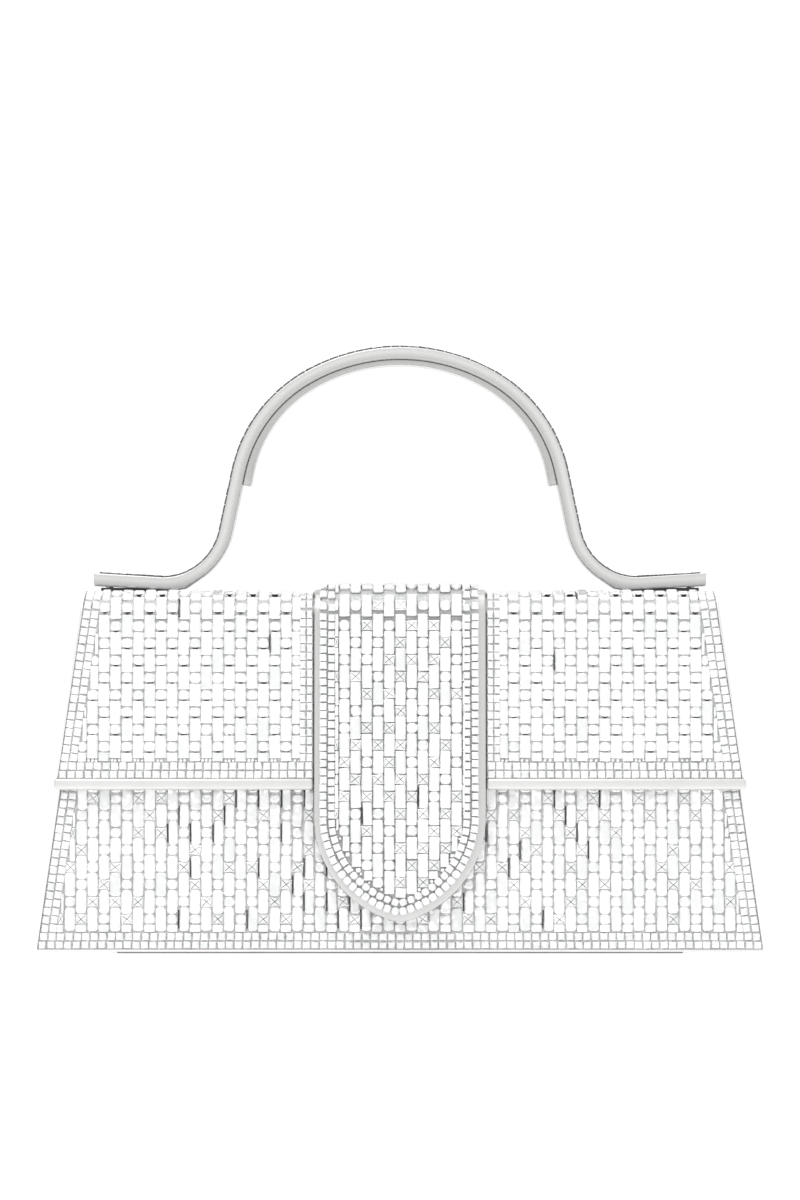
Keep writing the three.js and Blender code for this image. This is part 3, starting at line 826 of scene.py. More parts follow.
@dataclass
class StoneSetter:
    """Sets stones on a cloth, each a little out of true as hand-set stones are."""

    tilt: float = 1.3  # degrees
    slip: float = 0.03  # mm
    spread: float = 0.012  # share of a stone's size
    twist: float = 0.6  # share of the tilt that turns it where it stands
    bearing: float = 0.9  # share of a stone's length that touches the cloth
    sink: float = 0.35  # share of the sag under it that it sinks where the cloth bends
    seed: int = 11
    models: dict = field(default_factory=dict)

    def bed(self, drape: Drape, seat: Seat) -> tuple[tuple[Vector, Vector, Vector], float]:
        """Works out how a stiff stone lies where the cloth bends under it.

        Args:
            drape: The surface.
            seat: Where the stone's middle is.

        Returns:
            Its across, along and outward directions, and how far it sinks, in metres.
        """
        half = seat.half[0 if abs(math.sin(seat.spin)) > 0.5 else 1] * self.bearing
        low = drape.point(seat.u, max(0.0, seat.s - half))
        high = drape.point(seat.u, min(drape.route.length, seat.s + half))
        along = (high - low).normalized()
        out = drape.across.cross(along)
        sag = (drape.point(seat.u, seat.s) - (low + high) / 2).dot(out)
        return (drape.across, along, out), self.sink * max(0.0, sag)

    def set(self, name: str, drape: Drape, seats: Sequence[Seat], lift: float) -> bpy.types.Object:
        """Makes one mesh of all the stones on a cloth.

        Args:
            name: The object's name.
            drape: The surface that the stones sit on.
            seats: Where each stone sits, in metres.
            lift: How far the stones' feet are out of the surface, in millimetres.

        Returns:
            The object, with glass in slot 0, cups in slot 1 and dark pieces of painted gap shade
            in slot 2.
        """
        chance = np.random.default_rng(self.seed + len(seats))
        points, faces, parts, tones = [], [], [], []
        count = 0
        for seat in seats:
            if seat.cut not in self.models:
                self.models[seat.cut] = STONES[seat.cut].model("stone_" + seat.cut.value)
            model_points, model_faces, model_parts = self.models[seat.cut]
            axes, bridged = self.bed(drape, seat)
            lean = np.radians(chance.normal(0.0, self.tilt, 3))
            turn = Matrix.Rotation(seat.spin + lean[2] * self.twist, 3, "Z")
            rock = Matrix.Rotation(lean[0], 3, "X") @ Matrix.Rotation(lean[1], 3, "Y")
            basis = np.array(Matrix(axes).transposed() @ turn @ rock)
            slip = chance.normal(0.0, self.slip * MM, 2)
            foot = np.array(drape.point(seat.u + slip[0], seat.s + slip[1], lift * MM))
            foot -= np.array(axes[2]) * bridged
            size = np.array([seat.wide, seat.long, 1.0])
            size[:2] *= 1.0 + chance.normal(0.0, self.spread, 2)
            points.append((model_points * size) @ basis.T + foot)
            faces.extend(tuple(i + count for i in f) for f in model_faces)
            parts.extend(model_parts)
            tones.append(np.full(len(model_points), chance.uniform()))
            count += len(model_points)
        data = bpy.data.meshes.new(name)
        data.from_pydata(np.concatenate(points).tolist(), [], faces)
        item = bpy.data.objects.new(name, data)
        bpy.context.scene.collection.objects.link(item)
        data.polygons.foreach_set("material_index", parts)
        tone = data.attributes.new("stone_tone", "FLOAT", "POINT")
        tone.data.foreach_set("value", np.concatenate(tones).astype(np.float32))
        return item


SETTER = StoneSetter()


@dataclass(frozen=True)
class Pattern:
    """How a field of stones is laid out, in millimetres."""

    column: float = 3.29
    cell: float = 10.0
    phase: float = 0.1  # s of a small stone in an even column
    long: Cut = Cut.BAGUETTE
    small: Cut = Cut.ROUND
    crossed: float = 0.0  # share of the small stones that carry a cut cross
    cross_turn: float = 4.0  # degrees by which those are out of line
    filler: Cut = Cut.ROUND
    filler_size: float = 2.3
    filler_least: float = 0.32  # share of its size under which a gap stays open
    filler_step: float = 0.35
    least_width: float = 0.75
    least_length: float = 1.5
    slack: float = 0.06  # how far over a patch's edge any stone may reach
    crowd: float = 1.0  # how much wider the stones are than their plan
    tuck: float = 0.35  # how far a corner may slip under a neighbouring row
    whole: float = 0.95  # share of its plan from which a stone counts as uncut
    slits: float = 0.0  # share of the baguettes that leave an open slit beside them, filled with a dark sliver of painted shade
    slit: float = 0.38
    slit_reach: float = 66.0
    crescents: float = 0.0  # share of the whole round stones with a dark crescent of painted shadow under them
    crescent_drop: float = 0.31
    seed: int = 5

    def field(self, region: Region, centre: float = 0.0) -> list[Seat]:
        """Fills a patch with staggered columns, then plugs what is left with small stones.

        Args:
            region: The patch, in metres.
            centre: The u of column 0.

        Returns:
            The seats of the stones.
        """
        seats: list[Seat] = []
        taken: list[Seat] = []
        pitch, cell = self.column * MM, self.cell * MM
        first = math.floor((region.low[0] - centre) / pitch)
        last = math.ceil((region.high[0] - centre) / pitch)
        low_row = math.floor(region.low[1] / cell) - 1
        high_row = math.ceil(region.high[1] / cell) + 1
        chance = np.random.default_rng(self.seed)
        for column in range(first, last + 1):
            u = centre + column * pitch
            shift = self.phase * MM + (cell / 2 if column % 2 else 0.0)
            for row in range(low_row, high_row + 1):
                crossed = chance.uniform() < self.crossed
                small = Cut.PYRAMID if crossed else self.small
                places = (small, shift + row * cell), (self.long, shift + (row + 0.5) * cell)
                for cut, s in places:
                    found = self.largest_fit(region, cut, u, s)
                    if found:
                        gaps, found = self.finished(found, chance)
                        seats += [*gaps, found]
                        taken.append(found)
        return seats + self.plugs(region, taken)

    def finished(self, seat: Seat, chance: np.random.Generator) -> tuple[list[Seat], Seat]:
        """Crowds a stone, and leaves to chance whether a dark piece is set beside or under it,
        painting the shade of a slit or a crescent of shadow.

        Args:
            seat: The stone's seat.
            chance: The field's random numbers.

        Returns:
            The seats of the dark painted-shade pieces, and the stone's new seat.
        """
        seat = replace(seat, wide=seat.wide * self.crowd)
        if seat.cut is Cut.PYRAMID:
            turn = chance.normal(0.0, math.radians(self.cross_turn))
            return [], replace(seat, spin=turn)
        if seat.cut is self.long:
            drawn = chance.uniform()
            uncut = min(seat.wide, seat.long) > self.whole
            if not uncut or abs(seat.u) >= self.slit_reach * MM or drawn >= self.slits:
                return [], seat
            room = self.slit / 2 * MM
            gap = Seat(Cut.SLIVER, seat.u - seat.half[0] + room, seat.s)
            lost = self.slit / STONES[seat.cut].width
            return [gap], replace(seat, u=seat.u + room, wide=seat.wide - lost)
        if self.crescents and seat.wide > self.whole and chance.uniform() < self.crescents:
            return [Seat(Cut.CRESCENT, seat.u, seat.s - self.crescent_drop * MM)], seat
        return [], seat

    def largest_fit(self, region: Region, cut: Cut, u: float, s: float) -> Seat | None:
        """Cuts a stone down to the largest upright rectangle that lies inside a patch.

        Args:
            region: The patch.
            cut: The stone's cut.
            u: Where its middle would be, across.
            s: Where its middle would be, along.

        Returns:
            The seat, or None where no useful stone fits.
        """
        half_u, half_s = Seat(cut, u, s).half
        low, high = max(s - half_s, region.low[1]), min(s + half_s, region.high[1])
        if high - low < self.least_length * MM or abs(u) > region.reach + half_u:
            return None
        us = u + np.linspace(-half_u, half_u, 29)
        ss = np.linspace(low, high, 15)
        inside = region.clearance(*np.meshgrid(us, ss)) >= -(self.slack + self.tuck) * MM
        if inside.all():
            return Seat(cut, u, (low + high) / 2, long=(high - low) / (2 * half_s))
        best, choice = 0.0, None
        for begin in range(0, len(ss) - 2):
            for end in range(begin + 2, len(ss)):
                if 0 < begin and end < len(ss) - 1:
                    continue
                columns = inside[begin : end + 1].all(axis=0).astype(int)
                edges = np.flatnonzero(np.diff(np.concatenate(([0], columns, [0]))))
                for i, j in zip(edges[::2], edges[1::2]):
                    width, length = us[j - 1] - us[i], ss[end] - ss[begin]
                    if width < self.least_width * MM or length < self.least_length * MM:
                        continue
                    if width * length > best:
                        best = width * length
                        choice = Seat(
                            cut,
                            float(us[j - 1] + us[i]) / 2,
                            float(ss[end] + ss[begin]) / 2,
                            wide=float(width / (2 * half_u)),
                            long=float(length / (2 * half_s)),
                        )
        return choice

    def plugs(self, region: Region, taken: Sequence[Seat]) -> list[Seat]:
        """Finds room for small filler stones, largest gaps first.

        Args:
            region: The patch.
            taken: The stones that are in it already.

        Returns:
            The seats of the fillers.
        """
        step = self.filler_step * MM
        us, ss = np.meshgrid(
            np.arange(region.low[0], region.high[0], step),
            np.arange(region.low[1], region.high[1], step),
        )
        free = region.clearance(us, ss) + self.tuck / 2 * MM
        for seat in taken:
            du, ds = np.abs(us - seat.u) - seat.half[0], np.abs(ss - seat.s) - seat.half[1]
            away = np.hypot(np.maximum(du, 0), np.maximum(ds, 0))
            free = np.minimum(free, away + np.minimum(np.maximum(du, ds), 0))
        seats = []
        radius = self.filler_size / 2 * MM
        while free.size and free.max() >= radius * self.filler_least:
            spot = np.unravel_index(np.argmax(free), free.shape)
            size = min(radius, free[spot])
            u, s = float(us[spot]), float(ss[spot])
            share = size * 2 / (STONES[self.filler].width * MM)
            seats.append(Seat(self.filler, u, s, wide=share, long=share))
            free = np.minimum(free, np.hypot(us - u, ss - s) - size)
        return seats


def row_along(line: Sequence[Point], pitch: float) -> list[Seat]:
    """Lays squares edge to edge along a line of straight steps.

    Args:
        line: The line's points, in metres.
        pitch: The wanted spacing, in millimetres.

    Returns:
        The seats, each turned to the line.
    """
    steps = [math.dist(a, b) for a, b in zip(line, line[1:])]
    marks = np.concatenate(([0.0], np.cumsum(steps)))
    count = max(1, round(marks[-1] / (pitch * MM)))
    seats = []
    for i in range(count):
        goal = marks[-1] * (i + 0.5) / count
        j = min(int(np.searchsorted(marks, goal, side="right")) - 1, len(steps) - 1)
        a, b, share = line[j], line[j + 1], (goal - marks[j]) / steps[j]
        place = a[0] + (b[0] - a[0]) * share, a[1] + (b[1] - a[1]) * share
        seats.append(Seat(Cut.SQUARE, *place, math.atan2(b[1] - a[1], b[0] - a[0])))
    return seats


# ------------------------------------------------------------------ sheets
@dataclass(frozen=True)
class Sheet:
    """A flat sheet, cut to a convex outline and then laid on a drape. Millimetres."""

    name: str
    corners: Sequence[Point]  # u and s anticlockwise, in metres
    thickness: float
    base: float = 0.0  # the w of its inner face
    rounding: float = 0.0
    segments: int = 3
    step: float = 0.0  # spacing of the lines across it, along the drape's arcs

    def cut(self, marks: Iterable[float] = ()) -> bpy.types.Object:
        """Cuts the sheet.

        Args:
            marks: Each s where it gets a line across it, so that it can bend there.

        Returns:
            The flat sheet, with u, s and w as its x, y and z.
        """
        us, ss = zip(*self.corners)
        base = self.base * MM
        deselect()
        middle = ((max(us) + min(us)) / 2, (max(ss) + min(ss)) / 2, base)
        bpy.ops.mesh.primitive_plane_add(size=1, location=middle)
        item = bpy.context.object
        item.name = self.name
        item.scale = (max(us) - min(us), max(ss) - min(ss), 1)
        bpy.ops.object.transform_apply(location=True, rotation=True, scale=True)
        inner = [m for m in marks if min(ss) + 10 * TINY < m < max(ss) - 10 * TINY]
        with editing(item, everything):
            for a, b in zip(self.corners, [*self.corners[1:], self.corners[0]]):
                bpy.ops.mesh.bisect(
                    plane_co=(*a, base),
                    plane_no=(b[1] - a[1], a[0] - b[0], 0),
                    clear_outer=True,
                    threshold=TINY,
                )
                bpy.ops.mesh.select_all(action="SELECT")
            slice_at(inner, Y)
            bpy.ops.mesh.select_all(action="SELECT")
            rise = (0, 0, self.thickness * MM)
            bpy.ops.mesh.extrude_region_move(TRANSFORM_OT_translate={"value": rise})
        self.close(item)
        return soften(item, self.rounding, self.segments) if self.rounding else item

    @staticmethod
    def close(item: bpy.types.Object) -> None:
        """Merges doubles and turns every face outwards."""
        with editing(item, everything):
            bpy.ops.mesh.remove_doubles(threshold=10 * TINY)
            bpy.ops.mesh.normals_make_consistent(inside=False)

    def on(
        self, drape: Drape, across: Callable[[float, float], float] | None = None
    ) -> bpy.types.Object:
        """Cuts the sheet and lays it on a drape.

        Args:
            drape: The surface.
            across: Gives a point's u on the drape from its u and s in the sheet.

        Returns:
            The sheet, in place.
        """
        ss = [s for _, s in self.corners]
        marks = drape.route.stations(min(ss), max(ss), self.step * MM) if self.step else ()
        return laid(self.cut(marks), drape, across)


def laid(
    item: bpy.types.Object,
    drape: Drape,
    across: Callable[[float, float], float] | None = None,
) -> bpy.types.Object:
    """Lays a flat mesh on a drape, bending it with the surface.

    Args:
        item: The mesh, with u, s and w as its x, y and z.
        drape: The surface.
        across: Gives a point's u on the drape from its u and s in the mesh.

    Returns:
        The same object, in place.
    """
    for vertex in item.data.vertices:
        u, s, w = vertex.co
        vertex.co = drape.point(across(u, s) if across else u, s, w)
    item.data.update()
    return item


# ------------------------------------------------------------------ the purse's own lines
@dataclass(frozen=True)
class Outline:
    """The purse's outline in millimetres, and the surfaces that its cloths follow."""

    base_half_width: float = 105.0
    base_half_depth: float = 30.0
    top_half_width: float = 90.2
    top_half_depth: float = 21.0
    top: float = 105.0
    board_top: float = 102.95  # outer face of the top board
    flap_face: float = 2.75  # outer face of the flap's board, out from the front stones
    wall_face: float = -2.3  # outer face of a wall's board
    front_radius: float = 5.0
    rear_radius: float = 4.0
    flap_bottom: float = 48.0
    flap_half: Point = (99.3, 91.0)
    past: float = 120.0  # length of a wall's line, well past its top
    tail: float = 30.0  # length of the flap's line down the back

    @property
    def lean(self) -> float:
        """The lean of the front and back walls, in radians."""
        return math.atan((self.base_half_depth - self.top_half_depth) / self.top)

    @property
    def side_lean(self) -> float:
        """The lean of the side walls, in radians."""
        return math.atan((self.base_half_width - self.top_half_width) / self.top)

    def up(self, z: float) -> float:
        """Distance up the front wall, in metres, for a height in millimetres."""
        return z / math.cos(self.lean) * MM

    def half_width(self, s: float) -> float:
        """Half the body's width at a distance up the front wall, in metres."""
        return self.base_half_width * MM - s * math.cos(self.lean) * math.tan(self.side_lean)

    def half_depth(self, s: float) -> float:
        """Half the body's depth at a distance up a side wall, in metres."""
        return self.base_half_depth * MM - s * math.cos(self.side_lean) * math.tan(self.lean)

    def wall(self, depth: Vector, foot: float, lean: float) -> Drape:
        """Makes a flat wall that leans inwards.

        Args:
            depth: The direction into the purse.
            foot: Distance of the wall's foot from the middle, in millimetres.
            lean: Its lean, in radians.

        Returns:
            The wall's surface, with s measured up its slope from the ground.
        """
        route = Route((-foot * MM, 0.0), math.pi / 2 - lean).ahead(self.past * MM)
        return Drape(route, depth)

    @property
    def straight(self) -> float:
        """Distance up the flap's front to where its fold starts, in metres."""
        fold = (self.board_top - self.front_radius) + self.front_radius * math.sin(self.lean)
        return (fold - self.flap_face * math.sin(self.lean)) / math.cos(self.lean) * MM

    def fold_reach(self, radius: float, face: float) -> float:
        """Distance of a fold's centre from the middle, in metres.

        Args:
            radius: The fold's radius, in millimetres.
            face: How far out the cloth it belongs to is.

        Returns:
            The distance.
        """
        run = self.base_half_depth - (self.board_top - radius) * math.tan(self.lean)
        return (run + (face - radius) / math.cos(self.lean)) * MM

    @property
    def folds(self) -> Point:
        """Distances of the front fold's and the rear fold's centre from the middle."""
        front = self.fold_reach(self.front_radius, self.flap_face)
        return front, self.fold_reach(self.rear_radius, self.wall_face)

    def flap_cloth(self) -> Drape:
        """Makes the surface that the flap's cloth follows.

        Returns:
            It goes from the front's foot over the front fold, the top and the rear fold.
        """
        start = (
            -(self.base_half_depth + self.flap_face * math.cos(self.lean)) * MM,
            self.flap_face * math.sin(self.lean) * MM,
        )
        turn = 90 - math.degrees(self.lean)
        route = Route(start, math.pi / 2 - self.lean).ahead(self.straight)
        route.turn(self.front_radius * MM, -turn).ahead(sum(self.folds))
        return Drape(route.turn(self.rear_radius * MM, -turn).ahead(self.tail * MM), Y)

    def flap_edge(self, s: float) -> float:
        """Half the flap's width at a distance along the flap's cloth, in metres."""
        ends = (self.up(self.flap_bottom), self.marks()[1])
        return np.interp(s, ends, [half * MM for half in self.flap_half])

    def marks(self) -> tuple[float, float, float, float]:
        """Measures along the flap's cloth.

        Returns:
            Where the front fold starts and ends, and where the rear fold starts and ends.
        """
        turn = math.pi / 2 - self.lean
        fold_end = self.straight + self.front_radius * MM * turn
        top_end = fold_end + sum(self.folds)
        return self.straight, fold_end, top_end, top_end + self.rear_radius * MM * turn


OUTLINE = Outline()
CLOTH = OUTLINE.flap_cloth()
FOLD_START, FOLD_END, TOP_END, REAR_END = OUTLINE.marks()
BACK_WALL = OUTLINE.wall(-Y, OUTLINE.base_half_depth, OUTLINE.lean)
FRONT_WALL = replace(BACK_WALL, depth=Y)
RIGHT_WALL = OUTLINE.wall(-X, OUTLINE.base_half_width, OUTLINE.side_lean)
LEFT_WALL = replace(RIGHT_WALL, depth=X)
SIDE_WALLS = (("right", RIGHT_WALL), ("left", LEFT_WALL))
ARC_STEP = 0.8  # mm between the lines across a sheet where it bends


@dataclass(frozen=True)
class Fold:
    """A cloth hinge about one of the frame's joints: the bodies it joins, and its heading."""

    joint: str
    first: str
    second: str
    tilt: float  # radians
    reach: float = 3.6  # mm

    def bend(self, item: bpy.types.Object) -> None:
        """Bakes the piece's placement into its mesh; it is neither bent nor fastened to either
        body.

        Args:
            item: The piece.
        """
        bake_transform(item)


HALF_TURN = (math.pi / 2 - OUTLINE.lean) / 2
FRONT_FOLD = Fold("flap_fold", "flap_front", "flap_top", HALF_TURN)
REAR_FOLD = Fold("flap_hinge", "flap_top", "body", -HALF_TURN)
SMOOTH_UNDER = 40.0  # degrees, under which an edge is shaded smooth


def fit(
    item: bpy.types.Object,
    place: str | Fold,
    finishes: Sequence[Finish],
    nodes: Sequence[str] = (),
    smooth: bool = True,
) -> None:
    """Dresses a finished piece and fastens it to the body that it rides on; a piece that crosses a
    fold is only baked in place.

    Args:
        item: The piece, in place.
        place: The body that it rides on, or the fold that it crosses.
        finishes: Its materials, one slot each.
        nodes: The CAD nodes that it stands for.
        smooth: Whether its soft edges are shaded smooth.
    """
    item.data.name = item.name
    dress(item, *finishes)
    if smooth:
        deselect()
        item.select_set(True)
        bpy.context.view_layer.objects.active = item
        bpy.ops.object.shade_smooth_by_angle(angle=math.radians(SMOOTH_UNDER))
    if isinstance(place, Fold):
        place.bend(item)
    else:
        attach(item, place)
    if nodes:
        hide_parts(*nodes)
    LOG.info("%s: %d faces, on %s", item.name, len(item.data.polygons), place)


def set_stones(
    name: str,
    drape: Drape,
    seats: Sequence[Seat],
    lift: float,
    place: str | Fold,
    nodes: Sequence[str] = (),
    metals: Sequence[Finish] = (CUP_METAL, GAP_SHADE_METAL),
) -> None:
    """Sets stones on a cloth and fits them: fastened to a body they ride on, only baked in place
    where they cross a fold.

    Args:
        name: The piece's name.
        drape: The surface.
        seats: Where each stone sits.
        lift: How far out of the surface their feet are, in millimetres.
        place: The body that they ride on, or the fold that they cross.
        nodes: The CAD nodes that they stand for.
        metals: The finishes of the cups and of the dark pieces that paint the gaps' shade.
    """
    fit(SETTER.set(name, drape, seats, lift), place, [CRYSTAL, *metals], nodes, smooth=False)


def corner_at(corners: Sequence[Point], i: int, before: float, after: float) -> Point:
    """Finds where two neighbouring sides of an outline meet once they are moved in.

    Args:
        corners: The outline.
        i: The corner.
        before: How far the side before it is moved in.
        after: How far the side after it is moved in.

    Returns:
        The point.
    """
    count = len(corners)
    ends = []
    for j, inset in ((i - 1, before), (i, after)):
        a, b = corners[j % count], corners[(j + 1) % count]
        size = math.dist(a, b)
        du, ds = (b[0] - a[0]) / size, (b[1] - a[1]) / size
        ends.append((a[0] - ds * inset, a[1] + du * inset, du, ds))
    (au, as_, adu, ads), (bu, bs, bdu, bds) = ends
    t = ((bu - au) * bds - (bs - as_) * bdu) / (adu * bds - ads * bdu)
    return au + adu * t, as_ + ads * t


@dataclass(frozen=True)
class Border:
    """Rows of square stones along some sides of a patch. Sizes in millimetres."""

    rows: int = 2
    pitch: float = 2.45

    @property
    def width(self) -> float:
        """The width that the rows take, in metres."""
        return self.rows * self.pitch * MM

    @property
    def insets(self) -> list[float]:
        """How far in the middle of each row is, in metres."""
        return [(row + 0.5) * self.pitch * MM for row in range(self.rows)]

    def seats(self, corners: Sequence[Point], sides: dict[int, Point]) -> list[Seat]:
        """Lays the rows.

        Args:
            corners: The patch's corners.
            sides: For a side, how far its rows keep from the side before and the side after.

        Returns:
            The seats of the squares.
        """
        seats = []
        for side, (before, after) in sides.items():
            for inset in self.insets:
                start = corner_at(corners, side, before, inset)
                end = corner_at(corners, side + 1, inset, after)
                seats += row_along((start, end), self.pitch)
        return seats

    def bands(self, left: float, right: float, low: float, high: float) -> list[Seat]:
        """Fills a short cloth with rows that run across it.

        Args:
            left: The rows' left end.
            right: Their right end.
            low: Where the cloth starts.
            high: Where it ends.

        Returns:
            The seats of the squares.
        """
        seats = []
        for row in range(self.rows):
            s = low + (row + 0.5) * (high - low) / self.rows
            seats += row_along(((left, s), (right, s)), self.pitch)
        return seats


BORDER = Border()


# ------------------------------------------------------------------ the body
@dataclass
class BodyWalls:
    """The crystal cloth on the body's four walls. Sizes in millimetres."""

    foot: float = 1.5
    top: float = 97.1
    trim: float = 0.05
    mesh: float = 1.1
    seat: float = 0.5  # how far the stones' feet stand above the inside of the mesh
    gusset_sunk: float = 0.3  # how much deeper they are on the gussets
    depth: float = 2.0
    gusset_inset: float = 4.6
    snap_height: float = 21.5
    snap_clear: float = 7.5
    wall_field: Pattern = Pattern(
        phase=0.2, long=Cut.BARREL, crowd=1.03, crossed=0.35, slits=0.24
    )

    def build(self) -> None:
        """Builds the front, the back and both gussets."""
        low, high = OUTLINE.up(self.foot), OUTLINE.up(self.top)
        wide, narrow = (OUTLINE.half_width(s) - self.trim * MM for s in (low, high))
        corners = ((-wide, low), (wide, low), (narrow, high), (-narrow, high))
        self.cover("front", FRONT_WALL, corners, "front_crystal_sheet", self.seat, True)
        self.cover("back", BACK_WALL, corners, "back_crystal_sheet", self.seat)
        low, high = (z / math.cos(OUTLINE.side_lean) * MM for z in (self.foot, self.top))
        wide, narrow = (OUTLINE.half_depth(s) - self.gusset_inset * MM for s in (low, high))
        corners = ((-wide, low), (wide, low), (narrow, high), (-narrow, high))
        for side, wall in SIDE_WALLS:
            node = "gusset_crystal_sheet_" + side
            self.cover("gusset_" + side, wall, corners, node, self.seat - self.gusset_sunk)

    def cover(
        self,
        name: str,
        wall: Drape,
        corners: Sequence[Point],
        node: str,
        seat: float,
        snap: bool = False,
    ) -> None:
        """Covers one wall with mesh and stones.

        Args:
            name: The wall's name.
            wall: Its outer envelope.
            corners: The cloth's outline.
            node: The CAD node that the cloth stands for.
            seat: How far the stones' feet stand above the inside of the mesh.
            snap: Whether the cloth has an opening for the snap.
        """
        mesh = Sheet(name + "_mesh", corners, self.mesh, -self.depth).cut()
        wide = BORDER.width
        inner = polygon(corners, (wide, wide, 0.0, wide))
        if snap:
            centre, radius = (0.0, OUTLINE.up(self.snap_height)), self.snap_clear * MM
            self.open_snap(mesh, centre, radius)
            clear = hole(centre, radius + self.wall_field.tuck * MM)
            inner = replace(inner, limits=(*inner.limits, clear))
        fit(laid(mesh, wall), "body", [MESH_BACK], [node])
        seats = BORDER.seats(corners, {0: (0.0, 0.0), 1: (wide, 0.0), 3: (0.0, wide)})
        seats += self.wall_field.field(inner)
        set_stones(name + "_stones", wall, seats, seat - self.depth, "body")

    def open_snap(self, mesh: bpy.types.Object, centre: Point, radius: float) -> None:
        """Cuts the round opening for the snap's socket.

        Args:
            mesh: The flat sheet.
            centre: The opening's middle.
            radius: Its radius, in metres.
        """
        deselect()
        bpy.ops.mesh.primitive_cylinder_add(
            vertices=40, radius=radius, depth=20 * MM, location=(*centre, 0)
        )
        cutter = bpy.context.object
        modified(mesh, "BOOLEAN", operation="DIFFERENCE", object=cutter, solver="EXACT")
        bpy.data.objects.remove(cutter)


@dataclass
class BodyTrims:
    """The leather on the body: its base, its four corners and its mouth. Millimetres."""

    base_high: float = 1.45
    base_round: float = 0.3
    sole_hem: float = 2.2
    sole_seam: float = 0.4
    sole_hollow: float = 0.18
    sole_round: float = 0.16
    corner_wrap: float = 4.35
    corner_thickness: float = 0.42
    corner_round: float = 0.18
    corner_ends: Point = (1.5, 97.3)
    mouth_width: float = 3.8
    mouth_round: float = 0.5

    def build(self) -> None:
        """Builds the base, the sole pad, the corner wraps and the mouth binding."""
        self.base()
        self.sole()
        self.corners()
        self.mouth()

    def base(self) -> None:
        """A board wrapped in leather: its edge is rounded all the way round."""
        low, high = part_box("base_board")
        item = block("base_cover", low, Vector((high.x, high.y, self.base_high * MM)))
        modified(item, "BEVEL", width=self.base_round * MM, segments=4)
        fit(item, "body", [LEATHER], ["base_board"])

    def sole(self) -> None:
        """A thin pad with a raised rim where it is turned under, in dark leather that paints the
        shade under the base.
        """
        item = block("sole_pad", *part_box("bottom_pad"))
        with editing(item, under):
            bpy.ops.mesh.inset(thickness=self.sole_hem * MM)
            bpy.ops.mesh.inset(thickness=self.sole_seam * MM)
            bpy.ops.transform.translate(value=(0, 0, self.sole_hollow * MM))
        modified(item, "BEVEL", width=self.sole_round * MM, segments=2, limit_method="ANGLE")
        fit(item, "body", [SHADED_SOLE_LEATHER], ["bottom_pad"])

    def corners(self) -> None:
        """Strips that wrap the four upright edges of the front and back walls."""
        low, high = (OUTLINE.up(z) for z in self.corner_ends)
        bottom, top = OUTLINE.half_depth(low), OUTLINE.half_depth(high)
        width = self.corner_wrap * MM
        strip = [(bottom - width, low), (bottom, low), (top, high), (top - width, high)]
        for side, wall in SIDE_WALLS:
            for end, sign in (("front", -1), ("back", 1)):
                ring = mirrored(strip, sign if side == "right" else -sign)
                name = f"corner_wrap_{end}_{side}"
                item = Sheet(name, ring, self.corner_thickness, rounding=self.corner_round)
                fit(item.on(wall), "body", [LEATHER])

    def mouth(self) -> None:
        """A rounded binding round the mouth, bridged between its two inner edges."""
        item = block("mouth_trim", *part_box("mouth_binding"))
        for pick in (upper, under):
            with editing(item, pick):
                bpy.ops.mesh.inset(thickness=self.mouth_width * MM)
                bpy.ops.mesh.delete(type="FACE")
        with editing(item, lambda _: False, "edges"):
            bpy.ops.mesh.select_non_manifold()
            bpy.ops.mesh.bridge_edge_loops()
        Sheet.close(item)
        modified(item, "BEVEL", width=self.mouth_round * MM, segments=3, limit_method="ANGLE")
        fit(item, "body", [LEATHER], ["mouth_binding"])


